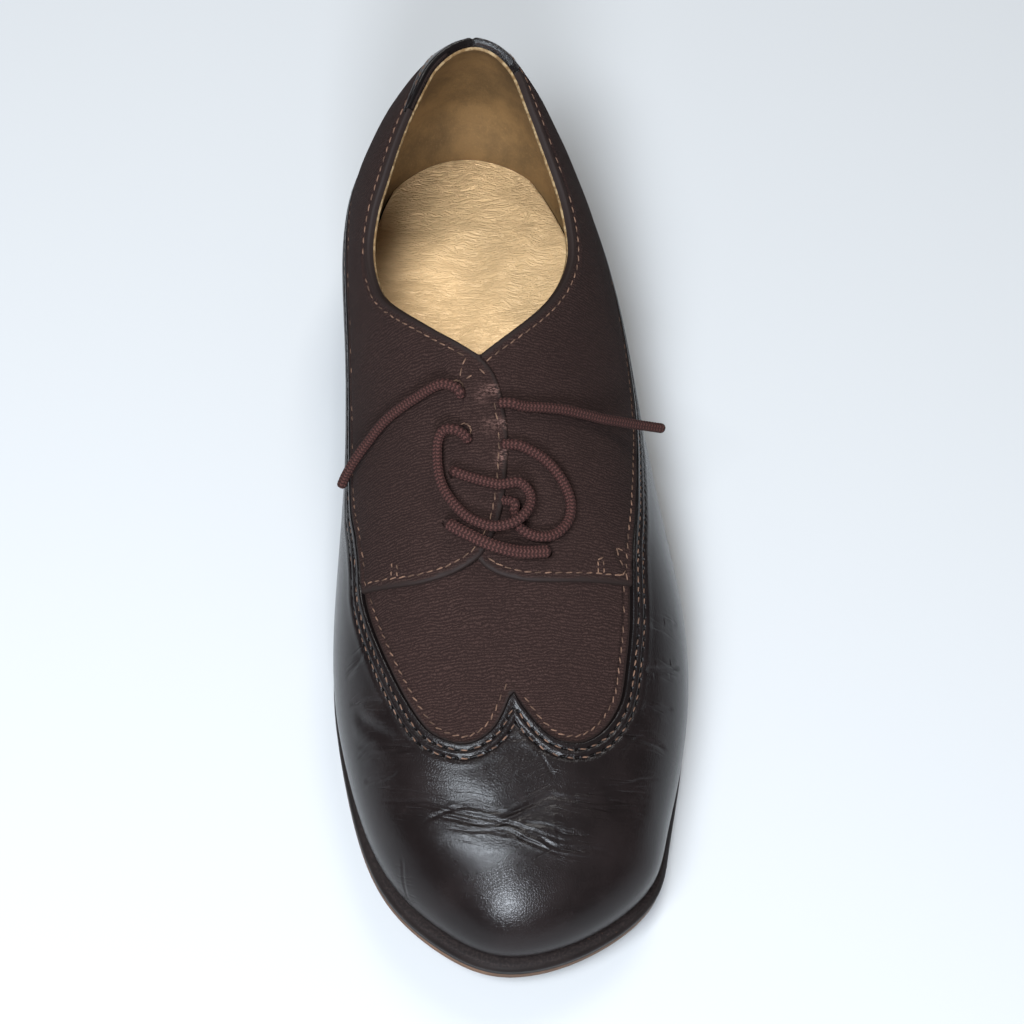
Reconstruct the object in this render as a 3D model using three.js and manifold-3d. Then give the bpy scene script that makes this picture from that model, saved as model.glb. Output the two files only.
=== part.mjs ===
// A left lace-up shoe with a wing-tip mudguard: toe at -Y, heel at +Y, outer side at +X, floor at z = 0.
// The upper's pieces are cut flat from one pattern of the last, as leather is, and are then lasted.
import * as THREE from "three";
import Module from "manifold-3d";

const wasm = await Module();
wasm.setup();

// Driving dimensions, in millimetres
const soleLength = 276;
const ballWidth = 104;
const toeSpring = 7.5;
const heelHeight = 17;
const outsoleThickness = 3.4;
const midsoleThickness = 4.8;
const heelLiftThickness = 6;
const insoleThickness = 2.6;
const upperWall = 2;
const leatherThickness = 1.3;
const fabricThickness = 1;
const fitGap = 0.3;
const laceDiameter = 3;
const laceBarDiameter = 3.8;
const eyeletDiameter = 3.6;
const toeHeight = 44;
const instepHeight = 78;
const rimAtToe = 3.6;
const rimAtSide = 1.2;
const spineInsetAtToe = 44;
const spineInsetAtHeel = 34;

// Where things change along the sole, as shares of its length from the toe
const toeSpringEnd = 0.27;
const archStart = 0.42;
const archEnd = 0.74;
const heelBreast = 0.7;
const springPower = 1.9;
const rimFade = { from: 0.03, to: 0.3 };
const bellyPower = 0.6;

// Mesh fineness
const laceSides = 8;
const laceStep = 4.2;
const pointsPerRow = 3;
const outlineSamples = 2000;
const splineSweeps = 90;
const stationCount = 38;
const rowCount = 10;

// The sole's outline: half-widths to each side as shares of half the ball width
const soleOutline = [
  { along: 0.03, medial: 0.485, lateral: 0.425 },
  { along: 0.082, medial: 0.738, lateral: 0.718 },
  { along: 0.134, medial: 0.86, lateral: 0.804 },
  { along: 0.188, medial: 0.925, lateral: 0.877 },
  { along: 0.245, medial: 0.969, lateral: 0.942 },
  { along: 0.303, medial: 0.994, lateral: 0.985 },
  { along: 0.36, medial: 0.985, lateral: 0.998 },
  { along: 0.45, medial: 0.92, lateral: 0.965 },
  { along: 0.55, medial: 0.84, lateral: 0.885 },
  { along: 0.65, medial: 0.8, lateral: 0.798 },
  { along: 0.75, medial: 0.785, lateral: 0.712 },
  { along: 0.85, medial: 0.745, lateral: 0.59 },
  { along: 0.93, medial: 0.585, lateral: 0.41 },
];
const toeTipAcross = -0.088;
const heelTipAcross = -0.077;

// Profiles of the sole's edges, from below upwards: the inset from the outline, and the height in the layer
const outsoleEdge = [{ inset: 1.2, up: 0 }, { inset: 0.3, up: 0.8 }, { inset: 0.1, up: outsoleThickness }];
const midsoleEdge = [
  { inset: 0.6, up: 0 },
  { inset: 0, up: 0.9 },
  { inset: 0, up: midsoleThickness - 1 },
  { inset: 0.8, up: midsoleThickness },
];
const heelLiftEdge = [{ inset: 2.6, up: 0 }, { inset: 2.1, up: heelLiftThickness }];
const heelBlockInset = { foot: 2, top: 1 };

// Sections of the last. Ridge height is toe x toeHeight + instep x instepHeight, and across is a share of
// half the ball width. Each side is the medial one, then the lateral one: full is the exponent of the section's
// curve, and swell is how far the wall bellies out past the feather edge, in mm.
const lastSections = [
  { along: 0, toe: 0.84, instep: 0, across: -0.08, full: [2.7, 2.7], swell: [1.2, 1.2] },
  { along: 0.07, toe: 0.92, instep: 0, across: -0.07, full: [2.65, 2.65], swell: [1.3, 1.3] },
  { along: 0.15, toe: 1, instep: 0, across: -0.067, full: [2.6, 2.5], swell: [1.5, 1.5] },
  { along: 0.25, toe: 0.75, instep: 0.218, across: -0.065, full: [2.5, 2.3], swell: [1.5, 1.5] },
  { along: 0.36, toe: 0.34, instep: 0.59, across: -0.06, full: [2.4, 2.2], swell: [2, 1.2] },
  { along: 0.47, toe: 0.1, instep: 0.835, across: -0.09, full: [2.3, 2], swell: [3.6, 1] },
  { along: 0.58, toe: 0, instep: 1, across: -0.15, full: [2.2, 1.75], swell: [5, 2.2] },
  { along: 0.68, toe: 0, instep: 1.1, across: -0.14, full: [2.3, 1.75], swell: [5.5, 3] },
  { along: 0.78, toe: 0, instep: 1.18, across: -0.12, full: [2.35, 1.85], swell: [6, 3] },
  { along: 0.9, toe: 0, instep: 1.244, across: -0.09, full: [2.4, 2.05], swell: [4, 2] },
  { along: 1, toe: 0, instep: 1.27, across: -0.08, full: [2.65, 2.65], swell: [1, 1] },
];

// Lines drawn on the flat pattern, as shares of the sole's length and of half the ball width. The pattern is
// the last rolled out flat from its ridge, so near the ridge it matches the plan. A corner is a sharp turn.
const collarLine = [
  { along: 0.5781, across: -0.17, corner: true },
  { along: 0.624, across: 0.137 },
  { along: 0.655, across: 0.306 },
  { along: 0.688, across: 0.433 },
  { along: 0.7235, across: 0.506 },
  { along: 0.7735, across: 0.492 },
  { along: 0.8236, across: 0.3865 },
  { along: 0.876, across: 0.269 },
  { along: 0.928, across: 0.16 },
  { along: 0.957, across: -0.077 },
  { along: 0.931, across: -0.33 },
  { along: 0.894, across: -0.454 },
  { along: 0.851, across: -0.592 },
  { along: 0.806, across: -0.735 },
  { along: 0.775, across: -0.852 },
  { along: 0.7395, across: -0.9115 },
  { along: 0.702, across: -0.869 },
  { along: 0.669, across: -0.756 },
  { along: 0.6207, across: -0.4615 },
];
const windowLine = [
  { along: 0.2492, across: -0.072, corner: true },
  { along: 0.2359, across: -0.034 },
  { along: 0.218, across: 0.032 },
  { along: 0.203, across: 0.113 },
  { along: 0.1964, across: 0.197 },
  { along: 0.1977, across: 0.293 },
  { along: 0.208, across: 0.39 },
  { along: 0.2254, across: 0.475 },
  { along: 0.248, across: 0.541 },
  { along: 0.278, across: 0.581 },
  { along: 0.3154, across: 0.623 },
  { along: 0.345, across: 0.643 },
  { along: 0.3757, across: 0.662 },
  { along: 0.409, across: 0.7 },
  { along: 0.4437, across: 0.768 },
  { along: 0.4926, across: 0.869 },
  { along: 0.556, across: 1.01 },
  { along: 0.62, across: 1.1 },
  { along: 0.69, across: 1.13 },
  { along: 0.75, across: 1.115 },
  { along: 0.819, across: 1.08 },
  { along: 0.899, across: 1.02 },
  { along: 0.975, across: 0.88 },
  { along: 1.047, across: 0.62 },
  { along: 1.087, across: 0.29 },
  { along: 1.105, across: -0.06 },
  { along: 1.09, across: -0.42 },
  { along: 1.05, across: -0.77 },
  { along: 0.982, across: -1.08 },
  { along: 0.902, across: -1.23 },
  { along: 0.822, across: -1.27 },
  { along: 0.75, across: -1.27 },
  { along: 0.67, across: -1.26 },
  { along: 0.583, across: -1.24 },
  { along: 0.52, across: -1.2 },
  { along: 0.4745, across: -1.135 },
  { along: 0.44, across: -1.048 },
  { along: 0.4062, across: -0.99 },
  { along: 0.3768, across: -0.962 },
  { along: 0.3567, across: -0.925 },
  { along: 0.3305, across: -0.86 },
  { along: 0.2997, across: -0.778 },
  { along: 0.2697, across: -0.697 },
  { along: 0.2415, across: -0.616 },
  { along: 0.2193, across: -0.538 },
  { along: 0.2074, across: -0.461 },
  { along: 0.2005, across: -0.377 },
  { along: 0.1994, across: -0.315 },
  { along: 0.2037, across: -0.245 },
  { along: 0.2133, across: -0.18 },
  { along: 0.2262, across: -0.134 },
  { along: 0.2395, across: -0.1 },
];
const medialFlapLine = [
  { along: 0.5781, across: -0.17, corner: true },
  { along: 0.5605, across: -0.099 },
  { along: 0.5392, across: -0.063 },
  { along: 0.5178, across: -0.046 },
  { along: 0.4903, across: -0.037 },
  { along: 0.4429, across: -0.062 },
  { along: 0.4103, across: -0.102 },
  { along: 0.3912, across: -0.15 },
  { along: 0.375, across: -0.215, corner: true },
  { along: 0.3679, across: -0.28 },
  { along: 0.3625, across: -0.36 },
  { along: 0.3595, across: -0.47 },
  { along: 0.3595, across: -0.58 },
  { along: 0.364, across: -0.725 },
  { along: 0.3726, across: -0.936 },
  { along: 0.385, across: -1.2, corner: true },
  { along: 0.385, across: -2, corner: true },
  { along: 1.3, across: -2, corner: true },
  { along: 1.3, across: -0.07, corner: true },
];
const lateralFlapLine = [
  { along: 0.566, across: -0.27, corner: true },
  { along: 1.3, across: -0.07, corner: true },
  { along: 1.3, across: 2, corner: true },
  { along: 0.36, across: 2, corner: true },
  { along: 0.36, across: 0.72, corner: true },
  { along: 0.3555, across: 0.5 },
  { along: 0.3521, across: 0.301 },
  { along: 0.3505, across: 0.169 },
  { along: 0.3507, across: 0.042 },
  { along: 0.3538, across: -0.052 },
  { along: 0.3602, across: -0.144 },
  { along: 0.3708, across: -0.215 },
  { along: 0.39, across: -0.27 },
  { along: 0.43, across: -0.29, corner: true },
];
const backstayLine = [
  { along: 0.87, across: 0.215, corner: true },
  { along: 0.97, across: 0.165 },
  { along: 1.04, across: 0.15 },
  { along: 1.2, across: 0.22, corner: true },
  { along: 1.2, across: -0.36, corner: true },
  { along: 1.04, across: -0.3 },
  { along: 0.97, across: -0.36 },
  { along: 0.87, across: -0.56, corner: true },
];
// The eyelets: four in the medial flap and the lowest one of the lateral flap, whose others are hidden
const eyelets = [
  { along: 0.5464, across: -0.292 },
  { along: 0.502, across: -0.264 },
  { along: 0.4616, across: -0.335 },
  { along: 0.413, across: -0.379 },
  { along: 0.3786, across: 0.15 },
];
// Where the medial quarter climbs over the hidden edge of the lateral one, and where along it the climb ends
const overlapClimb = { from: -0.43, to: -0.29 };
const overlapFade = { from: 0.66, to: 0.76 };

// The lace: routes chosen by hand over the flaps, in mm, from the eyelet or the flap's edge outwards
const laceRoutes = {
  lace_end_medial: [
    [-15.9, 11.0, 78.5], [-19.4, 12.5, 78.4], [-23.0, 12.4, 76.0], [-26.8, 11.9, 72.3], [-30.7, 11.3, 68.4],
    [-34.6, 10.4, 64.0], [-37.7, 9.1, 59.8], [-40.3, 7.6, 55.6], [-42.8, 6.1, 51.7], [-45.2, 4.3, 47.6],
    [-46.9, 2.7, 44.4], [-48.4, 0.6, 41.4],
  ],
  lace_end_lateral: [
    [-0.7, 6.4, 77.1], [3.0, 6.1, 75.6], [8.8, 6.6, 73.8], [14.7, 7.3, 71.2], [20.7, 7.8, 67.6],
    [26.9, 8.6, 63.2], [32.6, 9.8, 59.2], [37.0, 10.8, 55.9], [42.1, 11.8, 52.6], [46.5, 12.5, 50.0],
  ],
  lace_loop_medial: [
    [-14.8, -1.9, 75.3], [-17.0, -1.0, 76.0], [-19.8, -0.7, 75.2], [-21.4, -2.7, 73.5], [-21.9, -6.6, 71.8],
    [-21.7, -11.8, 70.5], [-20.7, -15.9, 69.9], [-18.7, -20.0, 69.8], [-15.3, -24.6, 69.8],
    [-11.7, -27.3, 70.1], [-7.4, -28.9, 70.4], [-2.7, -28.4, 70.9], [0.7, -26.4, 71.3], [2.8, -23.4, 71.4],
    [3.3, -20.4, 71.8], [1.9, -18.0, 72.7], [-0.1, -16.9, 73.4], [-2.9, -17.1, 73.2], [-5.6, -17.0, 72.8],
    [-10.5, -15.4, 72.5], [-14.8, -13.6, 72.2], [-17.0, -12.2, 71.8],
  ],
  lace_loop_lateral: [
    [0.2, -4.9, 73.3], [2.0, -5.4, 73.0], [4.3, -6.4, 72.4], [7.9, -8.4, 71.1], [11.1, -11.5, 69.6],
    [13.7, -15.7, 67.9], [14.9, -20.2, 66.7], [14.3, -24.5, 65.9], [12.1, -27.9, 65.8], [8.9, -30.1, 66.0],
    [5.5, -30.6, 66.5], [2.4, -29.8, 67.0], [0.2, -28.1, 67.6], [-0.8, -25.7, 68.1], [-1.2, -23.2, 68.8],
    [-1.0, -21.4, 69.3],
  ],
};
const laceBarRoute = [
  [-20.3, -25.9, 67.9], [-15.0, -29.7, 68.3], [-7.5, -33.8, 68.1], [0.2, -35.3, 66.8], [8.3, -34.9, 66.0],
];

const clamp = THREE.MathUtils.clamp;

// A cubic spline through (knots, values) with smooth second derivatives, closed when a period is given
function spline(knots, values, period = 0) {
  const count = knots.length;
  const step = (i) => (i === count - 1 ? period + knots[0] - knots[i] : knots[i + 1] - knots[i]);
  const slope = (i) => (values[(i + 1) % count] - values[i]) / step(i);
  const bend = new Array(count).fill(0);
  const ends = period ? 0 : 1;
  for (let sweep = 0; sweep < splineSweeps; sweep++) {
    for (let i = ends; i < count - ends; i++) {
      const before = (i + count - 1) % count;
      const pull = step(before) * bend[before] + step(i) * bend[(i + 1) % count];
      bend[i] = (6 * (slope(i) - slope(before)) - pull) / (2 * (step(before) + step(i)));
    }
  }
  return (t) => {
    const start = knots[0];
    const at = period ? start + THREE.MathUtils.euclideanModulo(t - start, period)
      : clamp(t, start, knots[count - 1]);
    let i = period ? count - 1 : count - 2;
    while (i > 0 && knots[i] > at) i--;
    const width = step(i);
    const b = (at - knots[i]) / width;
    const a = 1 - b;
    const next = (i + 1) % count;
    const curve = (a ** 3 - a) * bend[i] + (b ** 3 - b) * bend[next];
    return a * values[i] + b * values[next] + (curve * width * width) / 6;
  };
}

// Stations go round each side as an angle, 0 at the toe tip and pi at the back of the heel
const angleAt = (along) => Math.acos(1 - 2 * along);
const alongAt = (angle) => (1 - Math.cos(angle)) / 2;
const lengthwise = (along) => (along - 0.5) * soleLength;
const alongOf = (y) => clamp(y / soleLength + 0.5, 0, 1);

function makeOutline() {
  const lateral = soleOutline.map((row) => [angleAt(row.along), row.lateral]);
  const medial = soleOutline.map((row) => [2 * Math.PI - angleAt(row.along), -row.medial]).reverse();
  const points = [[0, toeTipAcross], ...lateral, [Math.PI, heelTipAcross], ...medial];
  const across = spline(points.map((p) => p[0]), points.map((p) => p[1]), 2 * Math.PI);
  const sampleAngle = (i) => (2 * Math.PI * i) / outlineSamples;
  const samples = Array.from({ length: outlineSamples }, (_, i) => across(sampleAngle(i)));
  const widest = Math.max(...samples);
  const narrowest = Math.min(...samples);
  const scale = ballWidth / (widest - narrowest);
  return (angle) => (across(angle) - (widest + narrowest) / 2) * scale;
}
const outlineAcross = makeOutline();

// A point of the sole's outline moved inwards by inset; side is 1 for lateral and -1 for medial
function outlinePoint(side, angle, inset) {
  const turn = side > 0 ? angle : 2 * Math.PI - angle;
  const step = 1e-4;
  const slopeX = (outlineAcross(turn + step) - outlineAcross(turn - step)) / (2 * step);
  const slopeY = (Math.sin(turn) * soleLength) / 2;
  const size = Math.hypot(slopeX, slopeY);
  const out = { x: slopeY / size, y: -slopeX / size };
  const y = (-Math.cos(turn) * soleLength) / 2;
  return { x: outlineAcross(turn) - out.x * inset, y: y - out.y * inset, out };
}

// Height of the outsole's underside over the floor
function lift(along) {
  const spring = Math.max(0, 1 - along / toeSpringEnd);
  const climb = THREE.MathUtils.smoothstep(along, archStart, archEnd);
  return toeSpring * spring ** springPower + heelHeight * climb;
}
const soleTop = (along) => lift(along) + outsoleThickness + fitGap + midsoleThickness;

// Closed solids are gathered as corners and triangles, with corners that coincide made one
class Body {
  constructor() {
    this.corners = [];
    this.triangles = [];
    this.known = new Map();
  }
  corner(x, y, z) {
    const key = [x, y, z].map((value) => Math.round(value * 1e5)).join();
    if (!this.known.has(key)) {
      this.known.set(key, this.corners.length);
      this.corners.push([x, y, z]);
    }
    return this.known.get(key);
  }
  triangle(a, b, c) {
    if (a !== b && b !== c && c !== a) this.triangles.push([a, b, c]);
  }
  quad(a, b, c, d) {
    this.triangle(a, b, c);
    this.triangle(a, c, d);
  }
  manifold() {
    const vertProperties = new Float32Array(this.corners.flat());
    const triVerts = new Uint32Array(this.triangles.flat());
    return new wasm.Manifold(new wasm.Mesh({ numProp: 3, vertProperties, triVerts }));
  }
  geometry() {
    const geometry = new THREE.BufferGeometry();
    geometry.setAttribute("position", new THREE.Float32BufferAttribute(this.corners.flat(), 3));
    geometry.setIndex(this.triangles.flat());
    geometry.computeVertexNormals();
    return geometry;
  }
}

// A layer of the sole: rings of the outline, each with its inset and height, closed above and below
function soleLayer(rings, startAlong = 0) {
  const body = new Body();
  const start = angleAt(startAlong);
  const count = Math.round(stationCount * (1 - start / Math.PI)) + (startAlong > 0 ? 2 : 0);
  const corner = (side, i, ring) => {
    const angle = start + ((Math.PI - start) * i) / count;
    const { x, y } = outlinePoint(side, angle, ring.inset);
    return body.corner(x, y, ring.height(alongAt(angle)));
  };
  for (let i = 0; i < count; i++) {
    for (let r = 0; r + 1 < rings.length; r++) {
      const [low, high] = [rings[r], rings[r + 1]];
      body.quad(corner(1, i, low), corner(1, i + 1, low), corner(1, i + 1, high), corner(1, i, high));
      body.quad(corner(-1, i + 1, low), corner(-1, i, low), corner(-1, i, high), corner(-1, i + 1, high));
    }
    const [bottom, top] = [rings[0], rings[rings.length - 1]];
    const next = i + 1;
    body.quad(corner(-1, i, bottom), corner(-1, next, bottom), corner(1, next, bottom), corner(1, i, bottom));
    body.quad(corner(-1, i, top), corner(1, i, top), corner(1, next, top), corner(-1, next, top));
  }
  for (let r = 0; startAlong > 0 && r + 1 < rings.length; r++) {
    const [low, high] = [rings[r], rings[r + 1]];
    body.quad(corner(-1, 0, low), corner(1, 0, low), corner(1, 0, high), corner(-1, 0, high));
  }
  return body.geometry();
}

// The last's own surface
const sectionPlaces = lastSections.map((row) => row.along);
const column = (value) => spline(sectionPlaces, lastSections.map(value));
const ridgeToe = column((row) => row.toe);
const ridgeInstep = column((row) => row.instep);
const ridgeAcross = column((row) => row.across);
const fullness = { 1: column((row) => row.full[1]), "-1": column((row) => row.full[0]) };
const swell = { 1: column((row) => row.swell[1]), "-1": column((row) => row.swell[0]) };
const ridgeHeight = (along) => ridgeToe(along) * toeHeight + ridgeInstep(along) * instepHeight;

// The spine that each section is drawn from: it stops short of the toe and the heel with a soft start
const spineSoftness = 22;
const softStart = (past) => (past <= -spineSoftness ? 0
  : past >= spineSoftness ? past : (past + spineSoftness) ** 2 / (4 * spineSoftness));
function spinePoint(angle) {
  const fromToe = alongAt(angle) * soleLength;
  const room = soleLength - spineInsetAtToe - spineInsetAtHeel;
  const y = room - softStart(room - softStart(fromToe - spineInsetAtToe)) + spineInsetAtToe - soleLength / 2;
  return { x: (ridgeAcross(alongOf(y)) * ballWidth) / 2, y };
}

function featherPoint(side, angle) {
  const toeShare = 1 - THREE.MathUtils.smoothstep(alongAt(angle), rimFade.from, rimFade.to);
  const rim = rimAtSide + (rimAtToe - rimAtSide) * toeShare;
  return outlinePoint(side, angle, rim + leatherThickness + fitGap);
}

// A point of the last: turn 0 is the feather edge by the sole and turn pi/2 is the ridge
function lastPoint(side, angle, turn) {
  const feather = featherPoint(side, angle);
  const spine = spinePoint(angle);
  const along = alongAt(angle);
  const power = 2 / fullness[side](along);
  const share = Math.max(0, Math.cos(turn)) ** power;
  const rise = Math.sin(turn) ** power;
  const bellied = rise ** bellyPower;
  const bulge = 4 * bellied * (1 - bellied) * swell[side](along);
  const x = spine.x + (feather.x - spine.x) * share + feather.out.x * bulge;
  const y = spine.y + (feather.y - spine.y) * share + feather.out.y * bulge;
  const base = soleTop(along) + fitGap;
  return new THREE.Vector3(x, y, base + (ridgeHeight(alongOf(y)) - base) * rise);
}

// The flat pattern: every column of the last is rolled out straight from the spine, at its true length
const bowlRadius = 900;
function makePattern() {
  const flat = new Body();
  const lasted = [];
  const index = (side, i, j) => pattern[side][i][j];
  const pattern = { 1: [], "-1": [] };
  for (const side of [1, -1]) {
    for (let i = 0; i <= stationCount; i++) {
      const angle = (Math.PI * i) / stationCount;
      const spine = spinePoint(angle);
      const feather = featherPoint(side, angle);
      const reach = Math.hypot(feather.x - spine.x, feather.y - spine.y);
      let rolled = 0;
      let above = null;
      const columnOf = [];
      for (let j = rowCount; j >= 0; j--) {
        const point = lastPoint(side, angle, (Math.PI * j) / (2 * rowCount));
        rolled += above ? above.distanceTo(point) : 0;
        above = point;
        const u = spine.x + ((feather.x - spine.x) / reach) * rolled;
        const v = spine.y + ((feather.y - spine.y) / reach) * rolled;
        const corner = flat.corner(u, v, -(u * u + v * v) / bowlRadius);
        lasted[corner] = { point, edge: j === 0 ? feather.out : null };
        columnOf[j] = corner;
      }
      pattern[side][i] = columnOf;
    }
  }
  for (let i = 0; i < stationCount; i++) {
    for (let j = 0; j < rowCount; j++) {
      flat.quad(index(1, i, j), index(1, i + 1, j), index(1, i + 1, j + 1), index(1, i, j + 1));
      flat.quad(index(-1, i + 1, j), index(-1, i, j), index(-1, i, j + 1), index(-1, i + 1, j + 1));
    }
  }
  const normals = lasted.map(() => new THREE.Vector3());
  for (const [a, b, c] of flat.triangles) {
    const [p, q, r] = [a, b, c].map((corner) => lasted[corner].point);
    const normal = q.clone().sub(p).cross(r.clone().sub(p));
    for (const corner of [a, b, c]) normals[corner].add(normal);
  }
  lasted.forEach((entry, corner) => {
    const { edge } = entry;
    entry.normal = edge ? new THREE.Vector3(edge.x, edge.y, 0) : normals[corner].normalize();
  });
  const rim = [];
  for (let i = 0; i <= stationCount; i++) rim.push(index(1, i, 0));
  for (let i = stationCount - 1; i > 0; i--) rim.push(index(-1, i, 0));
  return { flat, lasted, rim };
}
const pattern = makePattern();

// A flat sheet of the whole pattern, from depth under to depth over the last's surface
function flatSheet(under, over) {
  const { flat, rim } = pattern;
  const sheet = new Body();
  const upper = flat.corners.map(([u, v, w]) => sheet.corner(u, v, w + over));
  const lower = flat.corners.map(([u, v, w]) => sheet.corner(u, v, w + under));
  for (const [a, b, c] of flat.triangles) {
    sheet.triangle(upper[a], upper[b], upper[c]);
    sheet.triangle(lower[a], lower[c], lower[b]);
  }
  rim.forEach((corner, k) => {
    const next = rim[(k + 1) % rim.length];
    sheet.quad(lower[corner], lower[next], upper[next], upper[corner]);
  });
  return sheet.manifold();
}

// The points of a line of the pattern, smooth between its corners
function patternPoints(rows, perRow = pointsPerRow) {
  const points = rows.map((row) => new THREE.Vector2((row.across * ballWidth) / 2, lengthwise(row.along)));
  const count = rows.length;
  const outline = [];
  for (let i = 0; i < count; i++) {
    if (!rows[i].corner) continue;
    const run = [points[i]];
    let j = i + 1;
    while (!rows[j % count].corner) run.push(points[j++ % count]);
    run.push(points[j % count]);
    const steps = run.length > 2 ? (run.length - 1) * perRow : 1;
    outline.push(...new THREE.SplineCurve(run).getPoints(steps).slice(0, -1));
  }
  return outline;
}

// The same line moved outwards by a distance, or inwards where it is below zero
function grown(points, distance) {
  const turn = Math.sign(THREE.ShapeUtils.area(points));
  const count = points.length;
  return points.map((point, k) => {
    const before = point.clone().sub(points[(k + count - 1) % count]).normalize();
    const after = points[(k + 1) % count].clone().sub(point).normalize();
    const out = new THREE.Vector2(before.y + after.y, -before.x - after.x).multiplyScalar(turn).normalize();
    const mitre = Math.max(0.5, out.dot(new THREE.Vector2(after.y, -after.x)) * turn);
    return point.clone().addScaledVector(out, distance / mitre);
  });
}

// The triangles of a three.js geometry, gathered into one body
function gathered(geometry) {
  const body = new Body();
  const place = geometry.getAttribute("position");
  for (let k = 0; k < place.count; k += 3) {
    body.triangle(...[k, k + 1, k + 2].map((c) => body.corner(place.getX(c), place.getY(c), place.getZ(c))));
  }
  return body;
}

// A knife of a closed line, deep enough to go through the sheet wherever the pattern's bowl puts it
const knifeReach = 400;
function knife(points) {
  const options = { depth: 2 * knifeReach, bevelEnabled: false };
  const geometry = new THREE.ExtrudeGeometry(new THREE.Shape(points), options);
  return gathered(geometry.translate(0, 0, -knifeReach)).manifold();
}

function circlePoints(centre, radius, count) {
  return Array.from({ length: count }, (_, k) => {
    const angle = (2 * Math.PI * k) / count;
    return new THREE.Vector2(centre.x + radius * Math.cos(angle), centre.y + radius * Math.sin(angle));
  });
}

// A round cord along a smooth curve through its route
function cordGeometry(route, diameter) {
  const extrudePath = new THREE.CatmullRomCurve3(route.map((point) => new THREE.Vector3(...point)));
  const steps = Math.ceil(extrudePath.getLength() / laceStep);
  const section = new THREE.Shape(circlePoints({ x: 0, y: 0 }, diameter / 2, laceSides));
  return gathered(new THREE.ExtrudeGeometry(section, { steps, extrudePath })).geometry();
}

// The place on the last of a point of the flat sheet, found in the pattern triangle that holds it
function lastedPoint(u, v, w) {
  const { flat, lasted } = pattern;
  let best = { inside: -Infinity };
  for (const triangle of flat.triangles) {
    const [[ax, ay], [bx, by], [cx, cy]] = triangle.map((corner) => flat.corners[corner]);
    const area = (bx - ax) * (cy - ay) - (cx - ax) * (by - ay);
    const shareB = ((u - ax) * (cy - ay) - (cx - ax) * (v - ay)) / area;
    const shareC = ((bx - ax) * (v - ay) - (u - ax) * (by - ay)) / area;
    const shares = [1 - shareB - shareC, shareB, shareC];
    const inside = Math.min(...shares);
    if (inside > best.inside) best = { inside, triangle, shares };
  }
  const point = new THREE.Vector3();
  const normal = new THREE.Vector3();
  let bowl = 0;
  best.triangle.forEach((corner, k) => {
    point.addScaledVector(lasted[corner].point, best.shares[k]);
    normal.addScaledVector(lasted[corner].normal, best.shares[k]);
    bowl += flat.corners[corner][2] * best.shares[k];
  });
  return point.addScaledVector(normal.normalize(), w - bowl);
}

// Lasts a flat solid: every corner goes to its place on the last, raised where a lift is given
function lastSheet(sheet, raise = () => 0) {
  const mesh = sheet.getMesh();
  const body = new Body();
  const corners = [];
  for (let k = 0; k < mesh.numVert; k++) {
    const [u, v, w] = mesh.vertProperties.slice(k * mesh.numProp, k * mesh.numProp + 3);
    const { x, y, z } = lastedPoint(u, v, w + raise(u, v));
    corners.push(body.corner(x, y, z));
  }
  for (let k = 0; k < mesh.numTri; k++) {
    body.triangle(...[0, 1, 2].map((c) => corners[mesh.triVerts[3 * k + c]]));
  }
  return body.geometry();
}

// The sole's layers and the insole
function insoleGeometry() {
  const body = new Body();
  const corner = (side, i, height) => {
    const angle = (Math.PI * i) / stationCount;
    const feather = featherPoint(side, angle);
    const inset = upperWall + fitGap;
    const z = soleTop(alongAt(angle)) + height;
    return body.corner(feather.x - feather.out.x * inset, feather.y - feather.out.y * inset, z);
  };
  const [low, high] = [fitGap, fitGap + insoleThickness];
  for (let i = 0; i < stationCount; i++) {
    body.quad(corner(1, i, low), corner(1, i + 1, low), corner(1, i + 1, high), corner(1, i, high));
    body.quad(corner(-1, i + 1, low), corner(-1, i, low), corner(-1, i, high), corner(-1, i + 1, high));
    body.quad(corner(-1, i, low), corner(-1, i + 1, low), corner(1, i + 1, low), corner(1, i, low));
    body.quad(corner(-1, i, high), corner(1, i, high), corner(1, i + 1, high), corner(-1, i + 1, high));
  }
  return body.geometry();
}

const materials = {
  leather: new THREE.MeshStandardMaterial({ color: 0x2a211f, roughness: 0.38, metalness: 0 }),
  fabric: new THREE.MeshStandardMaterial({ color: 0x442f2b, roughness: 0.95, metalness: 0 }),
  sole: new THREE.MeshStandardMaterial({ color: 0x241b19, roughness: 0.5, metalness: 0 }),
  tread: new THREE.MeshStandardMaterial({ color: 0x6b4f3a, roughness: 0.8, metalness: 0 }),
  insole: new THREE.MeshStandardMaterial({ color: 0xbe9b64, roughness: 0.4, metalness: 0.4 }),
  lace: new THREE.MeshStandardMaterial({ color: 0x583430, roughness: 0.9, metalness: 0 }),
};
const shoe = new THREE.Group();
function addPiece(name, geometry, material) {
  const mesh = new THREE.Mesh(geometry, material);
  mesh.name = name;
  shoe.add(mesh);
}

const edgeOver = (base, edge) => edge.map(({ inset, up }) => {
  return { inset, height: (along) => base(along) + up };
});
addPiece("outsole", soleLayer(edgeOver(lift, outsoleEdge)), materials.tread);
const midsoleBase = (along) => lift(along) + outsoleThickness + fitGap;
addPiece("midsole", soleLayer(edgeOver(midsoleBase, midsoleEdge)), materials.sole);
addPiece("heel_lift", soleLayer(edgeOver(() => 0, heelLiftEdge), heelBreast), materials.tread);
addPiece("heel_block", soleLayer([
  { inset: heelBlockInset.foot, height: () => heelLiftThickness + fitGap },
  { inset: heelBlockInset.top, height: (along) => lift(along) - fitGap },
], heelBreast), materials.sole);
addPiece("insole", insoleGeometry(), materials.insole);

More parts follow.
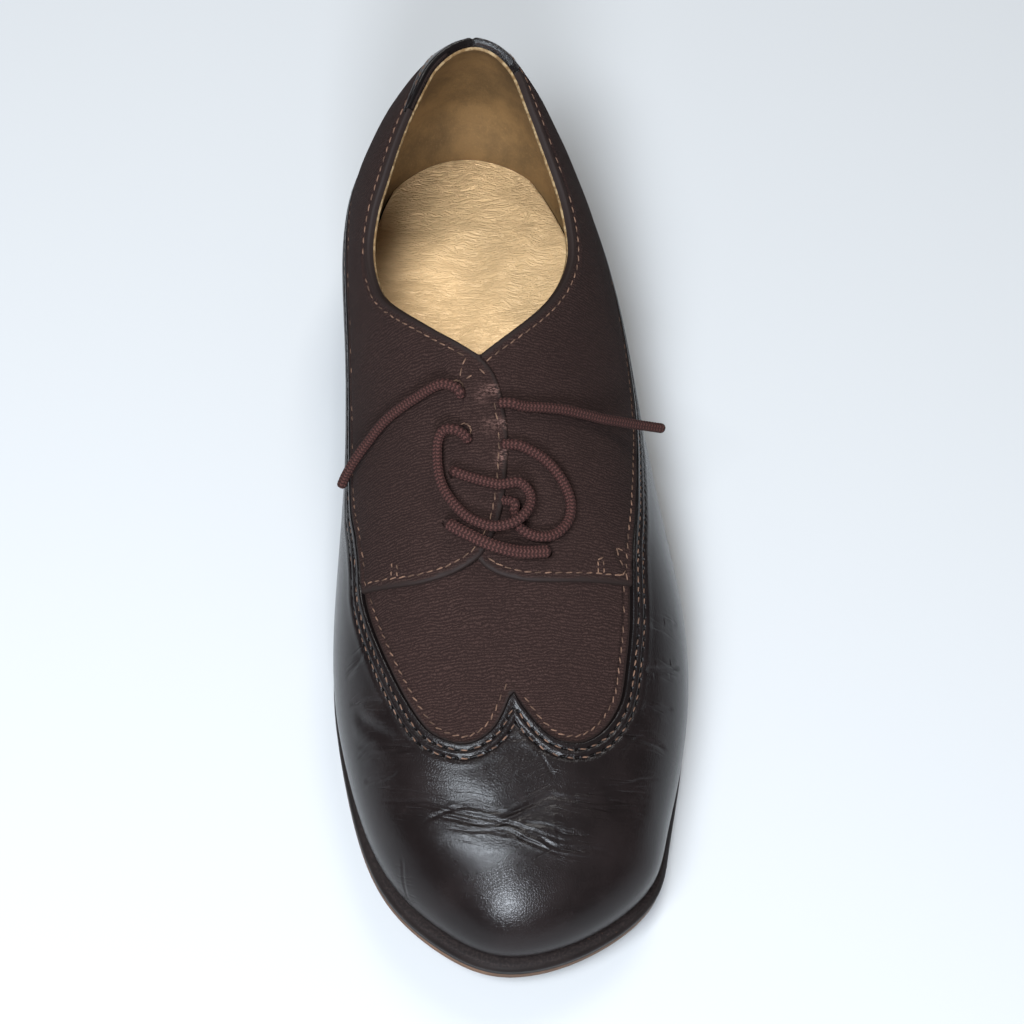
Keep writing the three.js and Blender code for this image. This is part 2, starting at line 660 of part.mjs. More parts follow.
const collar = patternPoints(collarLine);
const opening = patternPoints(windowLine, 2);
const backstay = patternPoints(backstayLine);
addPiece("upper", lastSheet(flatSheet(-upperWall, 0).subtract(knife(collar))), materials.fabric);
const leatherSheet = flatSheet(fitGap, fitGap + leatherThickness);
addPiece("mudguard", lastSheet(leatherSheet.subtract(knife(opening))), materials.leather);
const inWindow = knife(grown(opening, -fitGap));
addPiece("backstay", lastSheet(leatherSheet.intersect(inWindow).intersect(knife(backstay))
  .subtract(knife(collar))), materials.leather);
const fabricSheet = flatSheet(fitGap, fitGap + fabricThickness).intersect(inWindow)
  .subtract(knife(grown(backstay, fitGap))).subtract(knife(collar));
const punched = (sheet) => eyelets.reduce((rest, { along, across }) => {
  const centre = { x: (across * ballWidth) / 2, y: lengthwise(along) };
  return rest.subtract(knife(circlePoints(centre, eyeletDiameter / 2, laceSides)));
}, sheet);
const quarter = (rows) => punched(fabricSheet.intersect(knife(patternPoints(rows))));
addPiece("quarter_lateral", lastSheet(quarter(lateralFlapLine)), materials.fabric);
const climbOver = (u, v) => (fabricThickness + fitGap)
  * THREE.MathUtils.smoothstep((2 * u) / ballWidth, overlapClimb.from, overlapClimb.to)
  * (1 - THREE.MathUtils.smoothstep(v / soleLength + 0.5, overlapFade.from, overlapFade.to));
addPiece("quarter_medial", lastSheet(quarter(medialFlapLine), climbOver), materials.fabric);

addPiece("lace_bar", cordGeometry(laceBarRoute, laceBarDiameter), materials.lace);
for (const [name, route] of Object.entries(laceRoutes)) {
  addPiece(name, cordGeometry(route, laceDiameter), materials.lace);
}

export default shoe;
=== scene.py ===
"""The finished surfaces of a left lace-up shoe, built round its construction model."""
import math
from collections import namedtuple
from functools import lru_cache

import bpy
import numpy as np
from bpy.props import FloatProperty, FloatVectorProperty, PointerProperty
from mathutils import Matrix, Vector
from mathutils.bvhtree import BVHTree
from mathutils.kdtree import KDTree


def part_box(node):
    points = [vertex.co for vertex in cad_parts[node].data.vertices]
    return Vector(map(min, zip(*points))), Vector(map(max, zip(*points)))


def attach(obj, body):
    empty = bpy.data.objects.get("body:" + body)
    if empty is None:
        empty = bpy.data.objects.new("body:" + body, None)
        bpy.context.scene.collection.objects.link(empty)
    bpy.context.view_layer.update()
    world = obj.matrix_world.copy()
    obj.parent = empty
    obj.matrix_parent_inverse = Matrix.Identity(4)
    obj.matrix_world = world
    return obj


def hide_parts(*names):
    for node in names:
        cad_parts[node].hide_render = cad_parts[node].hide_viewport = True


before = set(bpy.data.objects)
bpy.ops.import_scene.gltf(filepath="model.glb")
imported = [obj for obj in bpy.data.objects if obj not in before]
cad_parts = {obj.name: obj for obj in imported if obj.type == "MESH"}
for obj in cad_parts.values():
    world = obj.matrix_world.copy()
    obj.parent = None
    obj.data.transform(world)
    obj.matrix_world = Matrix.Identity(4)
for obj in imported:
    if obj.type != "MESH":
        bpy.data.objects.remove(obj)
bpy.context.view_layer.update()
SOLE_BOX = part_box("midsole")

bl_info = {
    "name": "Lace-up shoe",
    "version": (1, 0, 0),
    "blender": (4, 5, 0),
    "location": "View3D > Sidebar > Shoe",
    "description": "Builds the finished surfaces of a left lace-up shoe",
    "category": "Add Mesh",
}

MM = 0.001
UP = np.array([0.0, 0.0, 1.0])

# The sole's outline: half-widths to each side as shares of half the ball width
OutlineRow = namedtuple("OutlineRow", "along medial lateral")
SOLE_OUTLINE = [
    OutlineRow(0.03, 0.485, 0.425),
    OutlineRow(0.082, 0.738, 0.718),
    OutlineRow(0.134, 0.86, 0.804),
    OutlineRow(0.188, 0.925, 0.877),
    OutlineRow(0.245, 0.969, 0.942),
    OutlineRow(0.303, 0.994, 0.985),
    OutlineRow(0.36, 0.985, 0.998),
    OutlineRow(0.45, 0.92, 0.965),
    OutlineRow(0.55, 0.84, 0.885),
    OutlineRow(0.65, 0.8, 0.798),
    OutlineRow(0.75, 0.785, 0.712),
    OutlineRow(0.85, 0.745, 0.59),
    OutlineRow(0.93, 0.585, 0.41),
]
TOE_TIP_ACROSS = -0.088
HEEL_TIP_ACROSS = -0.077

# Sections of the last: ridge height as shares of the toe's and the instep's, and each side's fullness and
# swell in mm, medial then lateral
SectionRow = namedtuple("SectionRow", "along toe instep across full_in full_out swell_in swell_out")
LAST_SECTIONS = [
    SectionRow(0, 0.84, 0, -0.08, 2.7, 2.7, 1.2, 1.2),
    SectionRow(0.07, 0.92, 0, -0.07, 2.65, 2.65, 1.3, 1.3),
    SectionRow(0.15, 1, 0, -0.067, 2.6, 2.5, 1.5, 1.5),
    SectionRow(0.25, 0.75, 0.218, -0.065, 2.5, 2.3, 1.5, 1.5),
    SectionRow(0.36, 0.34, 0.59, -0.06, 2.4, 2.2, 2, 1.2),
    SectionRow(0.47, 0.1, 0.835, -0.09, 2.3, 2, 3.6, 1),
    SectionRow(0.58, 0, 1, -0.15, 2.2, 1.75, 5, 2.2),
    SectionRow(0.68, 0, 1.1, -0.14, 2.3, 1.75, 5.5, 3),
    SectionRow(0.78, 0, 1.18, -0.12, 2.35, 1.85, 6, 3),
    SectionRow(0.9, 0, 1.244, -0.09, 2.4, 2.05, 4, 2),
    SectionRow(1, 0, 1.27, -0.08, 2.65, 2.65, 1, 1),
]

# Lines drawn on the flat pattern, as shares of the sole's length and of half the ball width; the first row
# and every row with corner are sharp turns
Mark = namedtuple("Mark", "along across corner", defaults=(False,))
COLLAR_LINE = [
    Mark(0.5781, -0.17, True), Mark(0.624, 0.137), Mark(0.655, 0.306), Mark(0.688, 0.433),
    Mark(0.7235, 0.506), Mark(0.7735, 0.492), Mark(0.8236, 0.3865), Mark(0.876, 0.269),
    Mark(0.928, 0.16), Mark(0.957, -0.077), Mark(0.931, -0.33), Mark(0.894, -0.454),
    Mark(0.851, -0.592), Mark(0.806, -0.735), Mark(0.775, -0.852), Mark(0.7395, -0.9115),
    Mark(0.702, -0.869), Mark(0.669, -0.756), Mark(0.6207, -0.4615),
]
WINDOW_LINE = [
    Mark(0.2492, -0.072, True), Mark(0.2359, -0.034), Mark(0.218, 0.032), Mark(0.203, 0.113),
    Mark(0.1964, 0.197), Mark(0.1977, 0.293), Mark(0.208, 0.39), Mark(0.2254, 0.475),
    Mark(0.248, 0.541), Mark(0.278, 0.581), Mark(0.3154, 0.623), Mark(0.345, 0.643),
    Mark(0.3757, 0.662), Mark(0.409, 0.7), Mark(0.4437, 0.768), Mark(0.4926, 0.869),
    Mark(0.556, 1.01), Mark(0.62, 1.1), Mark(0.69, 1.13), Mark(0.75, 1.115),
    Mark(0.819, 1.08), Mark(0.899, 1.02), Mark(0.975, 0.88), Mark(1.047, 0.62),
    Mark(1.087, 0.29), Mark(1.105, -0.06), Mark(1.09, -0.42), Mark(1.05, -0.77),
    Mark(0.982, -1.08), Mark(0.902, -1.23), Mark(0.822, -1.27), Mark(0.75, -1.27),
    Mark(0.67, -1.26), Mark(0.583, -1.24), Mark(0.52, -1.2), Mark(0.4745, -1.135),
    Mark(0.44, -1.048), Mark(0.4062, -0.99), Mark(0.3768, -0.962), Mark(0.3567, -0.925),
    Mark(0.3305, -0.86), Mark(0.2997, -0.778), Mark(0.2697, -0.697), Mark(0.2415, -0.616),
    Mark(0.2193, -0.538), Mark(0.2074, -0.461), Mark(0.2005, -0.377), Mark(0.1994, -0.315),
    Mark(0.2037, -0.245), Mark(0.2133, -0.18), Mark(0.2262, -0.134), Mark(0.2395, -0.1),
]
MEDIAL_FLAP_LINE = [
    Mark(0.5781, -0.17, True), Mark(0.5605, -0.099), Mark(0.5392, -0.063), Mark(0.5178, -0.046),
    Mark(0.4903, -0.037), Mark(0.4429, -0.062), Mark(0.4103, -0.102), Mark(0.3912, -0.15),
    Mark(0.375, -0.215, True), Mark(0.3679, -0.28), Mark(0.3625, -0.36), Mark(0.3595, -0.47),
    Mark(0.3595, -0.58), Mark(0.364, -0.725), Mark(0.3726, -0.936), Mark(0.385, -1.2, True),
    Mark(0.385, -2, True), Mark(1.3, -2, True), Mark(1.3, -0.07, True),
]
LATERAL_FLAP_LINE = [
    Mark(0.566, -0.27, True), Mark(1.3, -0.07, True), Mark(1.3, 2, True), Mark(0.36, 2, True),
    Mark(0.36, 0.72, True), Mark(0.3555, 0.5), Mark(0.3521, 0.301), Mark(0.3505, 0.169),
    Mark(0.3507, 0.042), Mark(0.3538, -0.052), Mark(0.3602, -0.144), Mark(0.3708, -0.215),
    Mark(0.39, -0.27), Mark(0.43, -0.29, True),
]
BACKSTAY_LINE = [
    Mark(0.87, 0.215, True), Mark(0.97, 0.165), Mark(1.04, 0.15), Mark(1.2, 0.22, True),
    Mark(1.2, -0.36, True), Mark(1.04, -0.3), Mark(0.97, -0.36), Mark(0.87, -0.56, True),
]
EYELETS = [
    Mark(0.5464, -0.292), Mark(0.502, -0.264), Mark(0.4616, -0.335), Mark(0.413, -0.379),
    Mark(0.3786, 0.15),
]
OVERLAP_CLIMB = (-0.43, -0.29)
OVERLAP_FADE = (0.66, 0.76)

# The lace's routes over the flaps, in mm
LACE_ROUTES = {
    "lace_end_medial": [
        (-15.9, 11.0, 78.5), (-19.4, 12.5, 78.4), (-23.0, 12.4, 76.0), (-26.8, 11.9, 72.3),
        (-30.7, 11.3, 68.4), (-34.6, 10.4, 64.0), (-37.7, 9.1, 59.8), (-40.3, 7.6, 55.6),
        (-42.8, 6.1, 51.7), (-45.2, 4.3, 47.6), (-46.9, 2.7, 44.4), (-48.4, 0.6, 41.4),
    ],
    "lace_end_lateral": [
        (-0.7, 6.4, 77.1), (3.0, 6.1, 75.6), (8.8, 6.6, 73.8), (14.7, 7.3, 71.2),
        (20.7, 7.8, 67.6), (26.9, 8.6, 63.2), (32.6, 9.8, 59.2), (37.0, 10.8, 55.9),
        (42.1, 11.8, 52.6), (46.5, 12.5, 50.0),
    ],
    "lace_loop_medial": [
        (-14.8, -1.9, 75.3), (-17.0, -1.0, 76.0), (-19.8, -0.7, 75.2), (-21.4, -2.7, 73.5),
        (-21.9, -6.6, 71.8), (-21.7, -11.8, 70.5), (-20.7, -15.9, 69.9), (-18.7, -20.0, 69.8),
        (-15.3, -24.6, 69.8), (-11.7, -27.3, 70.1), (-7.4, -28.9, 70.4), (-2.7, -28.4, 70.9),
        (0.7, -26.4, 71.3), (2.8, -23.4, 71.4), (3.3, -20.4, 71.8), (1.9, -18.0, 72.7),
        (-0.1, -16.9, 73.4), (-2.9, -17.1, 73.2), (-5.6, -17.0, 72.8), (-10.5, -15.4, 72.5),
        (-14.8, -13.6, 72.2), (-17.0, -12.2, 71.8),
    ],
    "lace_loop_lateral": [
        (0.2, -4.9, 73.3), (2.0, -5.4, 73.0), (4.3, -6.4, 72.4), (7.9, -8.4, 71.1),
        (11.1, -11.5, 69.6), (13.7, -15.7, 67.9), (14.9, -20.2, 66.7), (14.3, -24.5, 65.9),
        (12.1, -27.9, 65.8), (8.9, -30.1, 66.0), (5.5, -30.6, 66.5), (2.4, -29.8, 67.0),
        (0.2, -28.1, 67.6), (-0.8, -25.7, 68.1), (-1.2, -23.2, 68.8), (-1.0, -21.4, 69.3),
    ],
}
LACE_BAR_ROUTE = [
    (-20.3, -25.9, 67.9), (-15.0, -29.7, 68.3), (-7.5, -33.8, 68.1), (0.2, -35.3, 66.8),
    (8.3, -34.9, 66.0),
]

# Distances of the thread rows from their panels' edges, in mm
ROW_CLOTH = 2.1
ROW_NEAR = 2.0
ROW_FAR = 4.3
ROW_FLAP = 2.6
ROW_BACKSTAY = 1.6

# The braid: its rows round the cord, their stitches in radians a mm, and the lean of a stitch in its row
BRAID_ROWS = 7
BRAID_TURN = 5.9
BRAID_LEAN = 2.6

# The camera: its turn round the shoe, its height over the horizon, its distance and offsets, in mm
CAMERA_TURN = math.radians(1.96)
CAMERA_ELEVATION = math.radians(61.5)
CAMERA_DISTANCE = 750
CAMERA_TARGET = (-0.9, 0, 30)
CAMERA_LEFT = 51.7
CAMERA_BELOW = 2.44
CAMERA_LENS = 89.5
CAMERA_YAW = math.radians(4.18)


def length_property(label, text, value):
    return FloatProperty(name=label, description=text, unit="LENGTH", default=value)


class ShoeSizes(bpy.types.PropertyGroup):
    """Sizes of the shoe's pieces."""

    sole_length: length_property(
        "Sole length", "Length of the sole's outline", SOLE_BOX[1][1] - SOLE_BOX[0][1])
    ball_width: length_property("Ball width", "Width of the sole at the ball", 0.104)
    toe_spring: length_property("Toe spring", "Rise of the sole's tip", 0.0075)
    heel_height: length_property("Heel height", "Rise of the heel seat", 0.017)
    toe_height: length_property("Toe height", "Height of the toe over the floor", 0.044)
    instep_height: length_property("Instep height", "Height of the instep", 0.078)
    outsole: length_property("Outsole", "Thickness of the outsole", 0.0034)
    midsole: length_property("Midsole", "Thickness of the midsole", 0.0048)
    heel_lift: length_property("Heel lift", "Thickness of the heel's top piece", 0.006)
    insole: length_property("Insole", "Thickness of the footbed", 0.0026)
    wall: length_property("Shell wall", "Thickness of the lined shell", 0.002)
    leather: length_property("Leather", "Thickness of the mudguard", 0.0013)
    cloth: length_property("Cloth", "Thickness of the quarters", 0.001)
    fit_gap: length_property("Fit gap", "Gap between layers", 0.0003)
    lace: length_property("Lace", "Diameter of the lace", 0.003)
    lace_bar: length_property("Lace bar", "Width of the lace across the vamp", 0.0038)
    eyelet: length_property("Eyelet", "Diameter of the punched eyelets", 0.0032)
    stitch: length_property("Stitch", "Length from stitch to stitch", 0.003)
    thread: length_property("Thread", "Diameter of the sewing thread", 0.00044)


def colour_property(label, text, value):
    return FloatVectorProperty(name=label, description=text, subtype="COLOR", size=3, default=value)


class ShoeColours(bpy.types.PropertyGroup):
    """Colours of the shoe's materials, as linear light."""

    leather: colour_property("Leather", "Mudguard and backstay", (0.0078, 0.0054, 0.0052))
    # The cloth's valley colour is painted shade: a darker copy of the ribs' colour for the hollows of the
    # weave.
    cloth: colour_property("Cloth", "Valleys of the quarters' and vamp's cloth", (0.0105, 0.005, 0.0042))
    cloth_rib: colour_property("Cloth ribs", "Ribs of the cloth", (0.052, 0.0285, 0.0235))
    fold: colour_property("Folded edge", "Smooth folded edges of the cloth", (0.0135, 0.0082, 0.007))
    thread: colour_property("Thread", "Sewing thread", (0.14, 0.078, 0.051))
    lace: colour_property("Lace", "Braided lace", (0.042, 0.0165, 0.0138))
    sole: colour_property("Sole edge", "Midsole and heel", (0.0085, 0.0058, 0.0052))
    tread: colour_property("Tread", "Outsole and the heel's top piece", (0.12, 0.065, 0.038))
    footbed: colour_property("Footbed", "Golden insole", (0.84, 0.55, 0.275))
    lining: colour_property("Lining", "Inside of the shell", (0.14, 0.077, 0.028))


def smooth_step(x, low, high):
    share = np.clip((x - low) / (high - low), 0, 1)
    return share * share * (3 - 2 * share)


def spline(knots, values, period=0.0):
    """A cubic spline with smooth second derivatives, closed when a period is given."""
    knots = np.asarray(knots, float)
    values = np.asarray(values, float)
    count = len(knots)
    after = np.arange(1, count + 1) % count
    last_step = period + knots[0] - knots[-1] if period else 1.0
    step = np.append(np.diff(knots), last_step)
    slope = (values[after] - values) / step
    matrix = np.eye(count)
    target = np.zeros(count)
    ends = () if period else (0, count - 1)
    for i in range(count):
        if i in ends:
            continue
        before = i - 1
        matrix[i, i] = 0
        matrix[i, before] += step[before]
        matrix[i, i] += 2 * (step[before] + step[i])
        matrix[i, after[i]] += step[i]
        target[i] = 6 * (slope[i] - slope[before])
    bend = np.linalg.solve(matrix, target)

    def at(place):
        place = np.asarray(place, float)
        if period:
            place = knots[0] + np.mod(place - knots[0], period)
        else:
            place = np.clip(place, knots[0], knots[-1])
        i = np.clip(np.searchsorted(knots, place, side="right") - 1, 0, count - (1 if period else 2))
        width = step[i]
        b = (place - knots[i]) / width
        a = 1 - b
        j = after[i]
        curve = (a**3 - a) * bend[i] + (b**3 - b) * bend[j]
        return a * values[i] + b * values[j] + curve * width * width / 6

    return at


def unit(vectors):
    return vectors / (np.linalg.norm(vectors, axis=-1, keepdims=True) + 1e-12)


class Last:
    """The last's surface and its flat pattern, in mm. Side is 1 for lateral and -1 for medial."""

    TOE_SPRING_END = 0.27
    ARCH_START = 0.42
    ARCH_END = 0.74
    SPRING_POWER = 1.9
    BELLY_POWER = 0.6
    RIM_AT_TOE = 3.6
    RIM_AT_SIDE = 1.2
    RIM_FADE = (0.03, 0.3)
    SPINE_INSET_AT_TOE = 44
    SPINE_INSET_AT_HEEL = 34
    SPINE_SOFTNESS = 22
    FINE_TOE = 0.92
    TOE_COLUMNS = 150
    HEEL_COLUMNS = 130
    ROWS = 140

    def __init__(self, sizes):
        self.length = sizes.sole_length / MM
        self.width = sizes.ball_width / MM
        self.toe_spring = sizes.toe_spring / MM
        self.heel_height = sizes.heel_height / MM
        self.toe_height = sizes.toe_height / MM
        self.instep_height = sizes.instep_height / MM
        self.sole_thickness = (sizes.outsole + sizes.fit_gap + sizes.midsole) / MM
        self.gap = sizes.fit_gap / MM
        self.leather = sizes.leather / MM
        self.make_outline()
        places = [row.along for row in LAST_SECTIONS]
        self.column = {
            name: spline(places, [getattr(row, name) for row in LAST_SECTIONS])
            for name in SectionRow._fields[1:]}
        self.make_surface()

    def make_outline(self):
        lateral = [(math.acos(1 - 2 * row.along), row.lateral) for row in SOLE_OUTLINE]
        medial = [(2 * math.pi - math.acos(1 - 2 * row.along), -row.medial) for row in SOLE_OUTLINE]
        points = [(0, TOE_TIP_ACROSS), *lateral, (math.pi, HEEL_TIP_ACROSS), *medial[::-1]]
        across = spline([p[0] for p in points], [p[1] for p in points], 2 * math.pi)
        samples = across(np.linspace(0, 2 * math.pi, 2000))
        scale = self.width / (samples.max() - samples.min())
        middle = (samples.max() + samples.min()) / 2

        def centred(turn):
            return (across(turn) - middle) * scale

        self.outline_across = centred

    def along_of(self, y):
        return np.clip(y / self.length + 0.5, 0, 1)

    def outline_point(self, side, angle, inset):
        """x, y and the outward direction of the sole's outline, moved inwards by the inset."""
        turn = np.where(side > 0, angle, 2 * np.pi - angle)
        step = 1e-4
        slope_x = (self.outline_across(turn + step) - self.outline_across(turn - step)) / (2 * step)
        slope_y = np.sin(turn) * self.length / 2
        size = np.hypot(slope_x, slope_y)
        out_x = slope_y / size
        out_y = -slope_x / size
        x = self.outline_across(turn) - out_x * inset
        y = -np.cos(turn) * self.length / 2 - out_y * inset
        return x, y, out_x, out_y

    def lift(self, along):
        spring = np.maximum(0, 1 - along / self.TOE_SPRING_END)
        climb = smooth_step(along, self.ARCH_START, self.ARCH_END)
        return self.toe_spring * spring**self.SPRING_POWER + self.heel_height * climb

    def sole_top(self, along):
        return self.lift(along) + self.sole_thickness

    def ridge_height(self, along):
        return self.column["toe"](along) * self.toe_height + self.column["instep"](along) * self.instep_height

    def soft_start(self, past):
        soft = self.SPINE_SOFTNESS
        return np.where(past <= -soft, 0, np.where(past >= soft, past, (past + soft) ** 2 / (4 * soft)))

    def spine_point(self, angle):
        from_toe = (1 - np.cos(angle)) / 2 * self.length
        room = self.length - self.SPINE_INSET_AT_TOE - self.SPINE_INSET_AT_HEEL
        started = self.soft_start(from_toe - self.SPINE_INSET_AT_TOE)
        y = room - self.soft_start(room - started) + self.SPINE_INSET_AT_TOE - self.length / 2
        return self.column["across"](self.along_of(y)) * self.width / 2, y

    def feather_point(self, side, angle):
        toe = 1 - smooth_step((1 - np.cos(angle)) / 2, *self.RIM_FADE)
        rim = self.RIM_AT_SIDE + (self.RIM_AT_TOE - self.RIM_AT_SIDE) * toe
        return self.outline_point(side, angle, rim + self.leather + self.gap)

    def point(self, side, angle, turn):
        """A point of the last: turn 0 is the feather edge and turn pi/2 is the ridge."""
        feather_x, feather_y, out_x, out_y = self.feather_point(side, angle)
        spine_x, spine_y = self.spine_point(angle)
        along = (1 - np.cos(angle)) / 2
        full, swell = [
            np.where(side > 0, self.column[kind + "_out"](along), self.column[kind + "_in"](along))
            for kind in ("full", "swell")]
        share = np.maximum(0, np.cos(turn)) ** (2 / full)
        rise = np.sin(turn) ** (2 / full)
        bellied = rise**self.BELLY_POWER
        bulge = 4 * bellied * (1 - bellied) * swell
        x = spine_x + (feather_x - spine_x) * share + out_x * bulge
        y = spine_y + (feather_y - spine_y) * share + out_y * bulge
        base = self.sole_top(along) + self.gap
        return np.stack([x, y, base + (self.ridge_height(self.along_of(y)) - base) * rise], -1)

    def make_surface(self):
        """The whole surface as one sheet of small triangles, with each corner's place on the flat pattern."""
        angles = np.concatenate([
            np.linspace(0, self.FINE_TOE, self.TOE_COLUMNS, endpoint=False),
            np.linspace(self.FINE_TOE, math.pi, self.HEEL_COLUMNS + 1)])
        turns = np.linspace(0, math.pi / 2, self.ROWS + 1)
        columns, rows = len(angles), len(turns)
        points, flats, triangles = [], [], []
        for side in (1, -1):
            place = self.point(side, angles[:, None], turns[None, :])
            steps = np.linalg.norm(np.diff(place, axis=1), axis=2)
            rolled = np.zeros((columns, rows))
            rolled[:, :-1] = np.cumsum(steps[:, ::-1], axis=1)[:, ::-1]
            feather_x, feather_y, _, _ = self.feather_point(side, angles)
            spine_x, spine_y = self.spine_point(angles)
            reach = np.hypot(feather_x - spine_x, feather_y - spine_y)
            u = spine_x[:, None] + ((feather_x - spine_x) / reach)[:, None] * rolled
            v = spine_y[:, None] + ((feather_y - spine_y) / reach)[:, None] * rolled
            corner = np.arange(columns * rows).reshape(columns, rows) + len(points) * columns * rows
            a, b, c, d = corner[:-1, :-1], corner[1:, :-1], corner[1:, 1:], corner[:-1, 1:]
            quads = np.stack([a, b, c, d], -1).reshape(-1, 4)
            if side < 0:
                quads = quads[:, ::-1]
            points.append(place.reshape(-1, 3))
            flats.append(np.stack([u, v], -1).reshape(-1, 2))
            triangles += [quads[:, [0, 1, 2]], quads[:, [0, 2, 3]]]
        points = np.concatenate(points)
        flats = np.concatenate(flats)
        triangles = np.concatenate(triangles)
        _, first, same = np.unique(np.round(points, 3), axis=0, return_index=True, return_inverse=True)
        triangles = same.reshape(-1)[triangles]
        distinct = (triangles[:, 0] != triangles[:, 1]) & (triangles[:, 1] != triangles[:, 2])
        triangles = triangles[distinct & (triangles[:, 2] != triangles[:, 0])]
        self.sheet = Sheet(points[first], flats[first], triangles)
        self.sheet.normals = self.sheet.vertex_normals()
        flat = np.column_stack([self.sheet.flats, np.zeros(len(self.sheet.flats))])
        self.flat_tree = BVHTree.FromPolygons(flat.tolist(), triangles.tolist())

    def on_last(self, flats):
        """The places and normals on the last of points of the flat pattern; those off it are not a number."""
        places = np.full((len(flats), 3), np.nan)
        normals = np.full((len(flats), 3), np.nan)
        above = 10
        for k, (u, v) in enumerate(flats):
            hit, _, index, _ = self.flat_tree.ray_cast(Vector((u, v, above)), Vector((0, 0, -1)))
            if hit is None:
                continue
            corners = self.sheet.triangles[index]
            (ax, ay), (bx, by), (cx, cy) = self.sheet.flats[corners]
            area = (bx - ax) * (cy - ay) - (cx - ax) * (by - ay)
            share_b = ((u - ax) * (cy - ay) - (cx - ax) * (v - ay)) / area
            share_c = ((bx - ax) * (v - ay) - (u - ax) * (by - ay)) / area
            shares = np.array([1 - share_b - share_c, share_b, share_c])
            places[k] = shares @ self.sheet.points[corners]
            normals[k] = unit(shares @ self.sheet.normals[corners])
        return places, normals

    def flat(self, along, across):
        return np.array([across * self.width / 2, (along - 0.5) * self.length])

    def pattern_line(self, marks, per_row=6):
        """The points of a closed line of the pattern, smooth between its corners."""
        points = [self.flat(mark.along, mark.across) for mark in marks]
        count = len(points)
        line = []
        for i in range(count):
            if not marks[i].corner:
                continue
            run = [points[i]]
            j = i + 1
            while not marks[j % count].corner:
                run.append(points[j % count])
                j += 1
            run.append(points[j % count])
            line += smooth_run(run, per_row if len(run) > 2 else 1)[:-1]
        return np.array(line)


def smooth_run(points, per_step):
    """A Catmull-Rom curve through the points, with a fixed number of steps between two of them."""
    points = [np.asarray(p, float) for p in points]
    padded = [points[0], *points, points[-1]]
    made = []
    for i in range(len(points) - 1):
        a, b, c, d = padded[i:i + 4]
        for k in range(per_step):
            t = k / per_step
            curve = 2 * b + (c - a) * t + (2 * a - 5 * b + 4 * c - d) * t**2
            made.append((curve + (3 * b - a - 3 * c + d) * t**3) / 2)
    made.append(points[-1])
    return made


